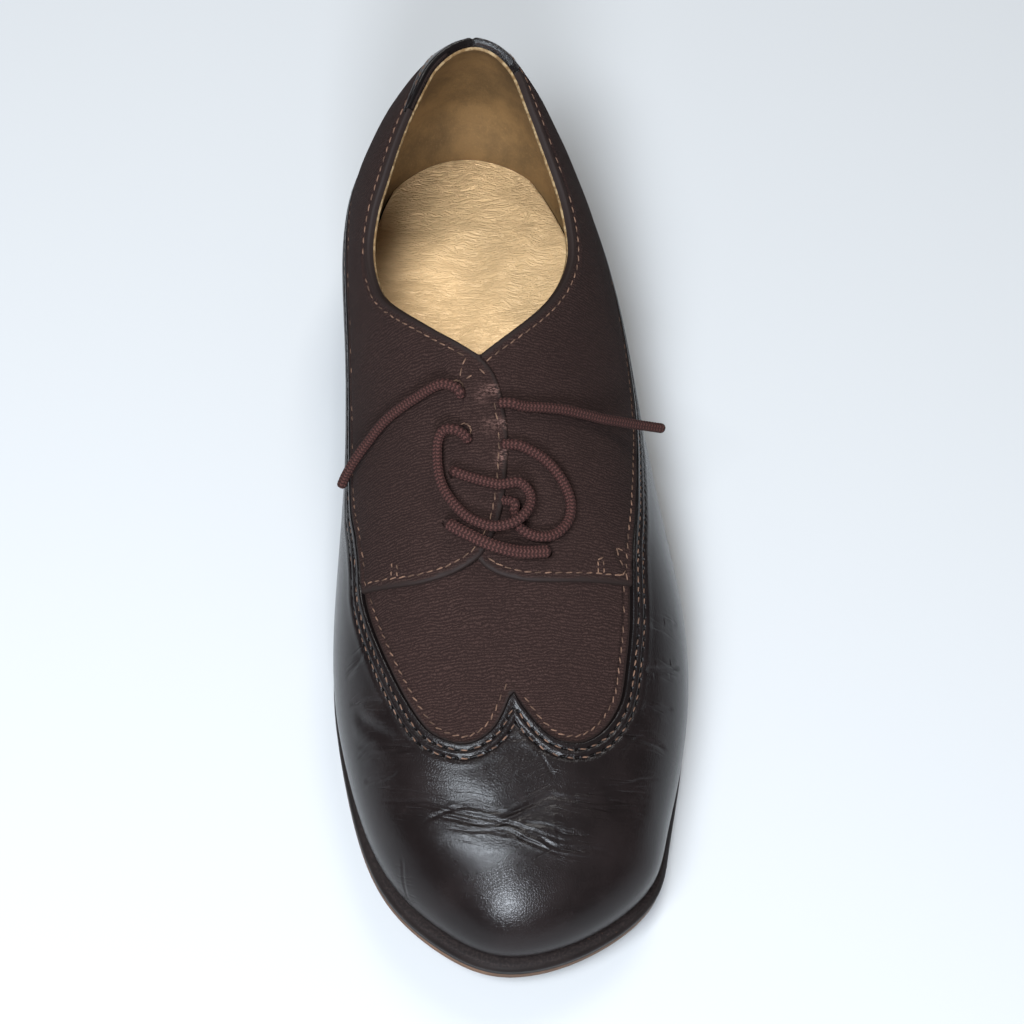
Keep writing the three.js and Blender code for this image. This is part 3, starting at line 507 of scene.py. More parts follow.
class Sheet:
    """A sheet of triangles on the last: corners, their flat places, normals and named fields."""

    def __init__(self, points, flats, triangles, normals=None, fields=None):
        self.points = points
        self.flats = flats
        self.triangles = triangles
        self.normals = normals
        self.fields = fields or {}

    def vertex_normals(self):
        a, b, c = (self.points[self.triangles[:, k]] for k in range(3))
        faces = np.cross(b - a, c - a)
        normals = np.zeros_like(self.points)
        for k in range(3):
            np.add.at(normals, self.triangles[:, k], faces)
        return unit(normals)

    def copy(self):
        fields = {name: values.copy() for name, values in self.fields.items()}
        return Sheet(self.points, self.flats, self.triangles, self.normals, fields)

    def split(self, name, level, snap=0.06):
        """Cuts the triangles along the line where a field has a level."""
        values = self.fields[name]
        values[np.abs(values - level) < snap] = level
        side = np.sign(values - level)[self.triangles]
        crossed = np.stack([side[:, k] * side[:, (k + 1) % 3] < 0 for k in range(3)], 1)
        if not crossed.any():
            return self
        row, edge = np.nonzero(crossed)
        ends = np.stack([self.triangles[row, edge], self.triangles[row, (edge + 1) % 3]], 1)
        ends.sort(axis=1)
        pairs, which = np.unique(ends, axis=0, return_inverse=True)
        start, stop = pairs[:, 0], pairs[:, 1]
        share = ((level - values[start]) / (values[stop] - values[start]))[:, None]
        added = np.full(crossed.shape, -1)
        added[row, edge] = which.reshape(-1) + len(self.points)

        def blend(data):
            if data.ndim == 1:
                between = data[start] * (1 - share[:, 0]) + data[stop] * share[:, 0]
            else:
                between = data[start] * (1 - share) + data[stop] * share
            return np.concatenate([data, between])

        fields = {key: blend(data) for key, data in self.fields.items()}
        fields[name][len(self.points):] = level
        triangles = [self.triangles[~crossed.any(axis=1)]]
        for k in range(3):
            one = crossed[:, (k + 1) % 3] & ~crossed[:, k] & ~crossed[:, (k + 2) % 3]
            a, b, c = (self.triangles[one, (k + i) % 3] for i in range(3))
            middle = added[one, (k + 1) % 3]
            triangles += [np.stack([a, b, middle], 1), np.stack([a, middle, c], 1)]
            two = crossed[:, k] & crossed[:, (k + 2) % 3]
            a, b, c = (self.triangles[two, (k + i) % 3] for i in range(3))
            first, second = added[two, k], added[two, (k + 2) % 3]
            parts = ((a, first, second), (first, b, c), (first, c, second))
            triangles += [np.stack(part, 1) for part in parts]
        normals = unit(blend(self.normals))
        return Sheet(blend(self.points), blend(self.flats), np.concatenate(triangles), normals, fields)

    def keep(self, name, low=-np.inf, high=np.inf):
        """Keeps the triangles whose field lies between two levels."""
        middle = self.fields[name][self.triangles].mean(axis=1)
        return self.only((middle > low) & (middle < high))

    def only(self, kept):
        used, same = np.unique(self.triangles[kept], return_inverse=True)
        fields = {key: data[used] for key, data in self.fields.items()}
        triangles = same.reshape(-1, 3)
        return Sheet(self.points[used], self.flats[used], triangles, self.normals[used], fields)

    def cut(self, name, level, *further):
        """Cuts the sheet at a level of a field, keeps what lies above it and adds further lines."""
        made = self.split(name, level).keep(name, low=level)
        for line in further:
            made = made.split(name, line)
        return made

    def rim(self):
        """The edges that bound the sheet, in the triangles' own direction."""
        edges = np.concatenate([self.triangles[:, [k, (k + 1) % 3]] for k in range(3)])
        key = edges.min(axis=1).astype(np.int64) * len(self.points) + edges.max(axis=1)
        _, first, counts = np.unique(key, return_index=True, return_counts=True)
        return edges[first[counts == 1]]

    def raised(self, height):
        return self.points + self.normals * np.asarray(height)[..., None]

    def walled(self, height, foot):
        """The raised corners, with a wall from the sheet's rim down to the foot, and all triangles."""
        top = self.raised(height)
        rim = self.rim()
        corners = np.unique(rim)
        lower = np.full(len(top), -1)
        lower[corners] = np.arange(len(corners)) + len(top)
        foot = np.broadcast_to(foot, len(top))[corners]
        bottom = self.points[corners] + self.normals[corners] * foot[:, None]
        a, b = rim[:, 0], rim[:, 1]
        walls = [np.stack([b, a, lower[a]], 1), np.stack([b, lower[a], lower[b]], 1)]
        return np.concatenate([top, bottom]), np.concatenate([self.triangles, *walls]), corners


def nearest_on(places, points, closed=True):
    """Distance from points to a line in mm, the way along it to the nearest place and that step's number."""
    a = places if closed else places[:-1]
    b = np.roll(places, -1, axis=0) if closed else places[1:]
    samples = 4
    tree = KDTree(len(a) * samples)
    for k in range(samples):
        for i, place in enumerate(a + (b - a) * (k + 0.5) / samples):
            tree.insert(place, i)
    tree.balance()
    nearest = np.array([tree.find(point)[1] for point in points.tolist()])
    lengths = np.linalg.norm(b - a, axis=1)
    starts = np.concatenate([[0], np.cumsum(lengths)])[:-1]
    best = np.full(len(points), np.inf)
    where = np.zeros(len(points))
    step = nearest.copy()
    for shift in (-1, 0, 1):
        i = (nearest + shift) % len(a)
        along = b[i] - a[i]
        to_point = points - a[i]
        share = np.clip((to_point * along).sum(1) / ((along**2).sum(1) + 1e-12), 0, 1)
        gap = np.linalg.norm(to_point - along * share[:, None], axis=1)
        closer = gap < best
        best = np.where(closer, gap, best)
        where = np.where(closer, starts[i] + share * lengths[i], where)
        step = np.where(closer, i, step)
    return best, where, step


def signed_distance(last, sheet, line):
    """Distance in mm over the surface to a closed pattern line, above zero inside, and the way along it."""
    places, _ = last.on_last(line)
    gap, where, _ = nearest_on(places[~np.isnan(places[:, 0])], sheet.points)
    return gap * np.where(inside(sheet.flats, line), 1, -1), where


def inside(points, line):
    """Which points lie inside a closed line of the plane."""
    x, y = points[:, 0], points[:, 1]
    odd = np.zeros(len(points), bool)
    for (ax, ay), (bx, by) in zip(line, np.roll(line, -1, axis=0)):
        if ay == by:
            continue
        crosses = (ay > y) != (by > y)
        odd ^= crosses & (x < ax + (bx - ax) * (y - ay) / (by - ay))
    return odd


@lru_cache(maxsize=1)
def the_last():
    """The last with the distances to each line of its pattern, worked out once."""
    last = Last(bpy.context.scene.shoe_sizes)
    lines = {
        "collar": COLLAR_LINE,
        "window": WINDOW_LINE,
        "medial": MEDIAL_FLAP_LINE,
        "lateral": LATERAL_FLAP_LINE,
        "backstay": BACKSTAY_LINE,
    }
    for name, marks in lines.items():
        distance, where = signed_distance(last, last.sheet, last.pattern_line(marks))
        last.sheet.fields[name] = distance
        last.sheet.fields[name + "_run"] = where
    last.sheet.fields["collar"] *= -1
    last.sheet.fields["leather"] = -last.sheet.fields["window"]
    return last


def contours(sheet, name, level):
    """The lines of a sheet where a field has a level: pairs of corners and the share between them."""
    values = sheet.fields[name] - level
    values = np.where(values == 0, 1e-6, values)
    above = values[sheet.triangles] > 0
    links = {}
    for corners in sheet.triangles[above.any(1) & ~above.all(1)].tolist():
        cut = [tuple(sorted((a, b))) for a, b in zip(corners, corners[1:] + corners[:1])
               if (values[a] > 0) != (values[b] > 0)]
        for here, there in (cut, cut[::-1]):
            links.setdefault(here, []).append(there)
    ends = [edge for edge, near in links.items() if len(near) == 1]
    waiting = dict(links)
    lines = []
    for first in ends + list(links):
        line = []
        ahead = first if first in waiting else None
        while ahead is not None:
            line.append(ahead)
            near = waiting.pop(ahead)
            ahead = next((edge for edge in near if edge in waiting), None)
        if len(line) > 8:
            if line[0] in links[line[-1]]:
                line.append(line[0])
            start, stop = np.array(line).T
            lines.append((start, stop, values[start] / (values[start] - values[stop])))
    return lines


def along_contour(data, line):
    start, stop, share = line
    share = share if data.ndim == 1 else share[:, None]
    return data[start] * (1 - share) + data[stop] * share


class Stitches:
    """Sewn rows gathered into one mesh: short rounded threads whose ends dip into the surface."""

    SIDES = 6
    SPANS = np.array([-1, -0.86, -0.5, 0, 0.5, 0.86, 1])
    FILL = 0.78
    PHASE = 0.5
    REACH = 3

    def __init__(self, pitch, thread):
        self.pitch = pitch
        self.thread = thread
        self.points = []
        self.random = np.random.default_rng(11)

    def row(self, places, normals, run, slant, where=None):
        """Stitches along a line at the whole steps of its run; with where, only on its true parts."""
        count = run / self.pitch - self.PHASE
        step = np.floor(count)
        jumps = np.nonzero((np.diff(step) != 0) & (np.abs(np.diff(count)) < 0.5))[0]
        jumps = jumps if where is None else jumps[where[jumps]]
        if not len(jumps):
            return
        target = np.maximum(step[jumps], step[jumps + 1])
        part = ((target - count[jumps]) / (count[jumps + 1] - count[jumps]))[:, None]
        centre = places[jumps] * (1 - part) + places[jumps + 1] * part
        normal = unit(normals[jumps] * (1 - part) + normals[jumps + 1] * part)
        before = np.maximum(jumps - self.REACH, 0)
        after = np.minimum(jumps + 1 + self.REACH, len(places) - 1)
        forward = places[after] - places[before]
        forward = unit(forward - normal * (forward * normal).sum(1)[:, None])
        self.single(centre, normal, forward, self.FILL * self.pitch, slant)

    def single(self, centre, normal, forward, length, slant, rise=0.1, dip=0.3):
        """Stitches at given places, with their directions and length."""
        count = len(centre)
        sideways = np.cross(normal, forward)
        turn = np.radians(slant + self.random.normal(0, 4, count))[:, None]
        forward, sideways = (forward * np.cos(turn) + sideways * np.sin(turn),
                             sideways * np.cos(turn) - forward * np.sin(turn))
        half = (length / 2 * self.random.uniform(0.9, 1.06, count))[:, None, None, None]
        spans = self.SPANS[None, :, None, None]
        angle = np.linspace(0, 2 * math.pi, self.SIDES, endpoint=False)[None, None, :, None]
        radius = self.thread / 2 * np.sqrt(1 - (self.SPANS * 0.97) ** 4)[None, :, None, None]
        middle = (centre + normal * rise)[:, None, None, :] + forward[:, None, None, :] * half * spans
        middle = middle - normal[:, None, None, :] * (dip * spans**4)
        ring = sideways[:, None, None, :] * np.cos(angle) + normal[:, None, None, :] * np.sin(angle)
        self.points.append((middle + ring * radius).reshape(-1, 3))

    def mesh(self, name):
        points = np.concatenate(self.points)
        spans, sides = len(self.SPANS), self.SIDES
        corner = np.arange(len(points)).reshape(-1, spans, sides)
        ahead = np.roll(corner, -1, axis=2)
        quads = np.stack([corner[:, :-1], ahead[:, :-1], ahead[:, 1:], corner[:, 1:]], -1).reshape(-1, 4)
        caps = np.concatenate([corner[:, 0, ::-1], corner[:, -1]])
        return new_object(name, points, quads.tolist() + caps.tolist())


def rounded(distance, top, radius):
    """Height of a sheet of that top height, with its edge rounded off over a radius."""
    inner = np.clip(radius - distance, 0, radius)
    return top - radius + np.sqrt(radius**2 - inner**2)


def bell(distance, width):
    return np.exp(-((distance / width) ** 2))


def new_object(name, points, faces, smooth=True):
    """A mesh object in metres from corners in mm."""
    mesh = bpy.data.meshes.new(name)
    mesh.from_pydata((np.asarray(points) * MM).tolist(), [], [[int(c) for c in face] for face in faces])
    mesh.validate()
    mesh.polygons.foreach_set("use_smooth", [smooth] * len(mesh.polygons))
    made = bpy.data.objects.new(name, mesh)
    bpy.context.scene.collection.objects.link(made)
    return made


def set_field(piece, name, values):
    """Keeps one number or one vector a corner for the material."""
    values = np.asarray(values, float)
    kind = "FLOAT" if values.ndim == 1 else "FLOAT_VECTOR"
    attribute = piece.data.attributes.new(name, kind, "POINT")
    attribute.data.foreach_set("value" if values.ndim == 1 else "vector", values.ravel())


def sheet_object(name, sheet, height, foot, fields=()):
    """A piece from a sheet: raised to its height, walled down to its foot, with its pattern places."""
    points, triangles, rim = sheet.walled(height, foot)
    made = new_object(name, points, triangles)
    spots = np.concatenate([sheet.flats, sheet.flats[rim]])
    set_field(made, "pattern", np.column_stack([spots, np.zeros(len(spots))]))
    for field in fields:
        values = sheet.fields[field]
        set_field(made, field, np.concatenate([values, values[rim]]))
    return made


def finished(piece, material, slot, *nodes):
    """Rides a piece on the shoe with its material and hides the nodes that it stands for. The slot is not
    used.
    """
    piece.data.materials.append(material)
    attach(piece, "root")
    if nodes:
        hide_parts(*nodes)


class Value:
    """A number socket of a material, so that shader maths reads as Python."""

    def __init__(self, finish, socket):
        self.finish = finish
        self.socket = socket

    def math(self, operation, *others):
        return self.finish.node("ShaderNodeMath", {"operation": operation}, [self, *others])

    def __add__(self, other):
        return self.math("ADD", other)

    __radd__ = __add__

    def __mul__(self, other):
        return self.math("MULTIPLY", other)

    __rmul__ = __mul__

    def __sub__(self, other):
        return self.math("SUBTRACT", other)

    def __rsub__(self, other):
        return self * -1 + other

    def __abs__(self):
        return self.math("ABSOLUTE")

    def sine(self):
        return self.math("SINE")

    def largest(self, other):
        return self.math("MAXIMUM", other)

    def smallest(self, other):
        return self.math("MINIMUM", other)

    def between(self, low, high, start=0.0, stop=1.0):
        """Goes smoothly from start at low to stop at high."""
        settings = {"interpolation_type": "SMOOTHSTEP"}
        return self.finish.node("ShaderNodeMapRange", settings, [self, low, high, start, stop])


class Finish:
    """A material whose nodes are added one by one."""

    def __init__(self, name, **constants):
        self.material = bpy.data.materials.new(name)
        self.material.use_nodes = True
        self.tree = self.material.node_tree
        self.shader = next(n for n in self.tree.nodes if n.type == "BSDF_PRINCIPLED")
        for socket, value in constants.items():
            self.socket(socket).default_value = value

    def socket(self, name):
        return self.shader.inputs[name.replace("_", " ").title().replace("Ior", "IOR")]

    def node(self, kind, settings=None, inputs=(), output=0):
        """Adds a node: its settings first, then its sockets' values or links. Gives one of its outputs."""
        made = self.tree.nodes.new(kind)
        for name, value in (settings or {}).items():
            if name == "stops":
                self.set_stops(made.color_ramp, value)
            else:
                setattr(made, name, value)
        pairs = inputs.items() if isinstance(inputs, dict) else enumerate(inputs)
        for socket, value in pairs:
            if isinstance(value, Value):
                self.tree.links.new(value.socket, made.inputs[socket])
            elif value is not None:
                made.inputs[socket].default_value = value
        return Value(self, made.outputs[output])

    @staticmethod
    def set_stops(ramp, stops):
        while len(ramp.elements) < len(stops):
            ramp.elements.new(1)
        for element, (place, colour) in zip(ramp.elements, stops):
            element.position = place
            element.color = (*colour, 1)

    def set(self, **links):
        for socket, value in links.items():
            self.tree.links.new(value.socket, self.socket(socket))
        return self

    def place(self):
        """The place in the shoe's own frame, in mm."""
        return self.scaled(self.node("ShaderNodeTexCoord", output="Object"), [1 / MM] * 3)

    def scaled(self, vector, scale):
        return self.node("ShaderNodeVectorMath", {"operation": "MULTIPLY"}, [vector, tuple(scale)])

    def moved(self, vector, by):
        return self.node("ShaderNodeVectorMath", {"operation": "ADD"}, [vector, by])

    def field(self, name, vector=False):
        output = "Vector" if vector else "Fac"
        return self.node("ShaderNodeAttribute", {"attribute_name": name}, output=output)

    def part(self, vector, axis):
        return self.node("ShaderNodeSeparateXYZ", inputs=[vector], output=axis)

    def noise(self, vector, scale, detail=2.0, roughness=0.5, distortion=0.0, output=0):
        inputs = {"Vector": vector, "Scale": scale, "Detail": detail, "Roughness": roughness,
                  "Distortion": distortion}
        return self.node("ShaderNodeTexNoise", inputs=inputs, output=output)

    def cells(self, vector, scale, feature="F1"):
        return self.node("ShaderNodeTexVoronoi", {"feature": feature}, {"Vector": vector, "Scale": scale})

    def joined(self, x, y):
        return self.node("ShaderNodeCombineXYZ", inputs=[x, y])

    def mix(self, share, first, second):
        """A colour between two colours, each a socket or three numbers."""
        made = self.tree.nodes.new("ShaderNodeMix")
        made.data_type = "RGBA"
        for index, value in ((0, share), (6, first), (7, second)):
            if isinstance(value, Value):
                self.tree.links.new(value.socket, made.inputs[index])
            else:
                made.inputs[index].default_value = value if index == 0 else (*value, 1)
        return Value(self, made.outputs[2])

    def bump(self, height, distance):
        """A normal from a height whose unit is the distance, in mm."""
        inputs = {"Height": height, "Distance": distance * MM, "Strength": 1.0}
        return self.node("ShaderNodeBump", inputs=inputs)


def shade(colour, factor):
    return tuple(min(1, part * factor) for part in colour)


def leather_material(colours):
    look = Finish("smooth_leather", roughness=0.34, specular_ior_level=0.2)
    spot = look.place()
    grain = look.cells(spot, 1.5, "DISTANCE_TO_EDGE").between(0, 0.3)
    pores = look.noise(spot, 2.4, detail=3, roughness=0.6)
    mottle = look.noise(spot, 0.05, detail=4, roughness=0.62)
    creased_part = look.field("crease")
    along, across = look.field("wrinkle_u"), look.field("wrinkle_v")
    drift = look.noise(look.joined(along * 0.03, across * 0.09), 1.0, detail=2)
    broken = look.noise(look.joined(along * 0.07, across * 0.45), 1.0, detail=2).between(0.46, 0.6)
    wrinkle = (across * 3.2 + drift * 26).sine().between(0.5, 1) * broken
    faint = look.noise(look.joined(along * 0.11, across * 0.8), 1.0, detail=2).between(0.5, 0.62)
    fine = (across * 6.3 - drift * 34).sine().between(0.4, 1) * faint
    away = look.field("leather")
    near_row = (abs(away - ROW_NEAR) * 2.2).between(0, 1, 1, 0)
    far_row = (abs(away - ROW_FAR) * 2.0).between(0, 1, 1, 0)
    pitch = bpy.context.scene.shoe_sizes.stitch / MM
    beat = (look.field("window_run") * (2 * math.pi / pitch)).math("COSINE")
    holes = near_row.largest(far_row) * beat.between(0.1, 0.9)
    height = grain * 0.22 + pores * 0.28 - wrinkle * creased_part * 1.5
    height = height - fine * (creased_part * 0.8 + 0.02) - holes * 3
    base = tuple(colours.leather)
    colour = look.mix(mottle.between(0.35, 0.7), shade(base, 0.75), shade(base, 1.2))
    worn = look.noise(spot, 0.4, detail=6, roughness=0.7).between(0.6, 0.75) * creased_part
    colour = look.mix(worn * 0.45, colour, shade(base, 3.4))
    # Darker within 0.7 mm of the leather's cut edge.
    colour = look.mix(away.between(0.1, 0.7, 1, 0) * 0.8, colour, shade(base, 0.35))
    # Painted shade: the stitch holes in the rows are darkened to a small share of the leather's colour.
    colour = look.mix(holes * 0.9, colour, shade(base, 0.15))
    rough = mottle * 0.1 + 0.19 + creased_part * 0.03
    return look.set(base_color=colour, roughness=rough, normal=look.bump(height, 0.1)).material


def cloth_material(colours):
    look = Finish("ribbed_cloth", roughness=0.95, specular_ior_level=0.12)
    spot = look.field("pattern", vector=True)
    sway = look.noise(look.scaled(spot, (0.12, 0.12, 1)), 1.0, detail=1, output="Color")
    spot = look.moved(spot, look.scaled(sway, (1.6, 2.4, 0)))
    wander = look.noise(look.scaled(spot, (0.3, 0.5, 1)), 1.0, detail=2, roughness=0.6)
    wave = (look.part(spot, "Y") * 7.4 + wander * 14).sine()
    pieces = look.noise(look.scaled(spot, (2.0, 1.8, 1)), 1.0, detail=2, roughness=0.6, distortion=0.4)
    thread = look.noise(look.scaled(spot, (3.2, 3.6, 1)), 1.0, detail=2, roughness=0.6)
    fibre = look.noise(look.scaled(spot, (0.05, 0.05, 1)), 1.0, detail=3)
    rib = wave.between(-0.6, 0.9) * pieces.between(0.36, 0.6)
    weave = rib * 0.5 + thread * 0.5
    # Painted light and shade: the raised ribs and threads lean to the ribs' colour and the hollows between
    # them to the darker valley colour; the fibre noise is the yarn's own random tone.
    light = (rib * 0.45 + thread.between(0.45, 0.75) * 0.4) * (0.65 + fibre * 0.7)
    colour = look.mix(light, tuple(colours.cloth), tuple(colours.cloth_rib))
    fold = look.field("fold")
    smooth_colour = look.mix(thread, shade(colours.fold, 0.8), shade(colours.fold, 1.2))
    colour = look.mix(fold, colour, smooth_colour)
    scuff = look.noise(look.scaled(spot, (0.9, 1.6, 1)), 1.0, detail=4, roughness=0.7).between(0.45, 0.6)
    colour = look.mix(look.field("rub") * scuff * 0.8, colour, shade(colours.cloth_rib, 3.2))
    height = weave * (1 - fold * 0.85)
    rough = 0.95 - fold * 0.32
    return look.set(base_color=colour, roughness=rough, normal=look.bump(height, 0.16)).material


def thread_material(colours):
    look = Finish("sewing_thread", roughness=0.8, specular_ior_level=0.2)
    spot = look.place()
    dirt = look.noise(spot, 0.25, detail=3, roughness=0.6)
    colour = look.mix(dirt.between(0.35, 0.65), shade(colours.thread, 0.35), tuple(colours.thread))
    return look.set(base_color=colour).material


def lace_material(colours):
    look = Finish("braided_lace", roughness=0.9, specular_ior_level=0.15)
    spot = look.field("braid", vector=True)
    round_it, along = look.part(spot, "X"), look.part(spot, "Y")
    beside = abs((round_it * (BRAID_ROWS / (2 * math.pi))).math("FRACT") - 0.5) * 2
    stitch = (along * BRAID_TURN + beside * BRAID_LEAN).sine()
    over = stitch.between(-0.6, 0.8) * beside.between(0.6, 1, 1, 0.1)
    fuzz = look.noise(look.place(), 3.2, detail=3, roughness=0.7)
    # Painted light and shade: the raised stitches take a lit copy of the lace's colour and the gaps between
    # them a shaded copy, with random fuzz.
    light = over * 0.75 + fuzz * 0.3
    colour = look.mix(light, shade(colours.lace, 0.22), shade(colours.lace, 1.5))
    height = over + fuzz * 0.7
    return look.set(base_color=colour, normal=look.bump(height, 0.14)).material


def sole_material(colours):
    look = Finish("sole_edge", roughness=0.42, specular_ior_level=0.12)
    spot = look.place()
    fine = look.noise(spot, 1.5, detail=4, roughness=0.65)
    smear = look.noise(spot, 0.08, detail=4, roughness=0.6)
    rim = look.field("rim")
    base = tuple(colours.sole)
    colour = look.mix(smear.between(0.35, 0.7), shade(base, 0.8), shade(base, 1.35))
    # The rim's flat top is lighter: partly its rough greyish texture and partly a painted reflection of the
    # light on that flat face.
    rough_top_and_sheen = look.mix(fine.between(0.4, 0.7), shade(base, 0.9), shade(base, 2.6))
    colour = look.mix(rim * 0.75, colour, rough_top_and_sheen)
    chips = look.noise(spot, 0.55, detail=3, roughness=0.7).between(0.7, 0.74)
    colour = look.mix(chips * 0.55, colour, (0.16, 0.085, 0.055))
    foot = look.field("foot")
    colour = look.mix(foot * 0.8, colour, (0.2, 0.11, 0.07))
    rough = rim * 0.22 + 0.4 + fine * 0.08
    height = fine * (0.12 + rim * 0.9)
    return look.set(base_color=colour, roughness=rough, normal=look.bump(height, 0.12)).material


def tread_material(colours):
    look = Finish("tread_rubber", roughness=0.75, specular_ior_level=0.3)
    spot = look.place()
    fine = look.noise(spot, 0.9, detail=5, roughness=0.65)
    wear = look.noise(spot, 0.04, detail=4, roughness=0.6)
    colour = look.mix(wear.between(0.35, 0.7), shade(colours.tread, 0.65), shade(colours.tread, 1.15))
    return look.set(base_color=colour, normal=look.bump(fine, 0.15)).material


def footbed_material(colours):
    look = Finish("golden_footbed", roughness=0.42, metallic=0.12, specular_ior_level=0.4)
    spot = look.place()
    sway = look.noise(spot, 0.07, detail=2, output="Color")
    bent = look.moved(spot, look.scaled(sway, (9, 9, 0)))
    crinkle = look.noise(look.scaled(bent, (0.3, 1.2, 0.3)), 1.0, detail=4, roughness=0.6, distortion=0.35)
    ridges = 1 - (abs(crinkle - 0.5) * 7).smallest(1)
    broad = look.noise(look.scaled(bent, (0.12, 0.3, 0.1)), 1.0, detail=3, roughness=0.5)
    base = tuple(colours.footbed)
    # Painted highlight and shade: the crinkle's ridges are lighter and the hollows between them darker.
    colour = look.mix(ridges * 0.4, shade(base, 0.82), shade(base, 1.12))
    patch = look.noise(look.scaled(spot, (0.06, 0.02, 0.1)), 1.0, detail=3).between(0.35, 0.7)
    colour = look.mix(patch * 0.4, colour, shade(base, 0.62))
    heel = look.part(spot, "Y").between(86, 122)
    height = ridges * 0.45 + broad * 0.9 + heel * ridges * 0.8
    rough = 0.44 - ridges * 0.12
    return look.set(base_color=colour, roughness=rough, normal=look.bump(height, 0.4)).material


def lining_material(colours):
    look = Finish("matt_lining", roughness=0.8, specular_ior_level=0.25)
    spot = look.place()
    fine = look.noise(spot, 1.3, detail=4, roughness=0.65)
    soil = look.noise(spot, 0.06, detail=5, roughness=0.65)
    base = tuple(colours.lining)
    colour = look.mix(soil.between(0.3, 0.7), shade(base, 0.62), shade(base, 1.12))
    colour = look.mix(fine.between(0.5, 0.75) * 0.25, colour, shade(base, 1.7))
    edge = look.field("collar")
    pale = edge.between(0.3, 0.7, 1, 0)
    nicks = look.noise(spot, 0.5, detail=5, roughness=0.7).between(0.42, 0.62)
    colour = look.mix(pale * (nicks * 0.6 + 0.05), colour, (0.34, 0.24, 0.13))
    return look.set(base_color=colour, normal=look.bump(fine + soil, 0.15)).material


def floor_material():
    return Finish("pale_floor", roughness=0.9, base_color=(0.38, 0.38, 0.38, 1)).material


@lru_cache(maxsize=None)
def material(maker):
    return maker(bpy.context.scene.shoe_colours)


def frames_along(points):
    """Sideways and upward vectors that turn as little as they can along a path."""
    forward = unit(np.gradient(points, axis=0))
    start = np.cross(forward[0], UP)
    sideways = [unit(start if np.linalg.norm(start) > 0.1 else np.cross(forward[0], [1.0, 0, 0]))]
    for ahead in forward[1:]:
        moved = sideways[-1] - ahead * np.dot(sideways[-1], ahead)
        sideways.append(unit(moved))
    sideways = np.array(sideways)
    return sideways, np.cross(sideways, forward)


def evenly(points, step):
    """The same path with points about a step apart."""
    points = np.asarray(points, float)
    run = np.concatenate([[0], np.cumsum(np.linalg.norm(np.diff(points, axis=0), axis=1))])
    at = np.linspace(0, run[-1], max(2, int(round(run[-1] / step)) + 1))
    return np.stack([np.interp(at, run, points[:, k]) for k in range(3)], 1), at


CORD_SIDES = 28
CORD_STEP = 0.3


def cord_object(name, route, diameter, flatness=1.0):
    """A braided cord with round ends along a route."""
    path, run = evenly(smooth_run(route, 24), CORD_STEP)
    sideways, upward = frames_along(path)
    angle = np.linspace(0, 2 * math.pi, CORD_SIDES, endpoint=False) - math.pi / 2
    beside = np.abs(angle[None, :] * BRAID_ROWS / (2 * math.pi) % 1 - 0.5) * 2
    stitch = np.sin(BRAID_TURN * run[:, None] + BRAID_LEAN * beside)
    radius = diameter / 2 - 0.03 * diameter * beside**2 + 0.012 * diameter * (stitch - 1)
    near_end = np.minimum(run, run[-1] - run)
    cap = np.sqrt(np.clip(1 - (1 - np.clip(near_end / (diameter * 0.4), 0, 1)) ** 2, 0.02, 1))
    radius = radius * cap[:, None]
    ring = (path[:, None, :] + sideways[:, None, :] * (radius * np.cos(angle))[..., None]
            + upward[:, None, :] * (radius * np.sin(angle) * flatness)[..., None])
    points = ring.reshape(-1, 3)
    corner = np.arange(len(points)).reshape(-1, CORD_SIDES)
    ahead = np.roll(corner, -1, axis=1)
    quads = np.stack([corner[:-1], ahead[:-1], ahead[1:], corner[1:]], -1).reshape(-1, 4).tolist()
    quads += [corner[0][::-1].tolist(), corner[-1].tolist()]
    made = new_object(name, points, quads)
    places = np.stack([np.broadcast_to(angle, radius.shape), np.broadcast_to(run[:, None], radius.shape),
                       np.zeros_like(radius)], -1)
    set_field(made, "braid", places.reshape(-1, 3))
    return made, path, run[-1]


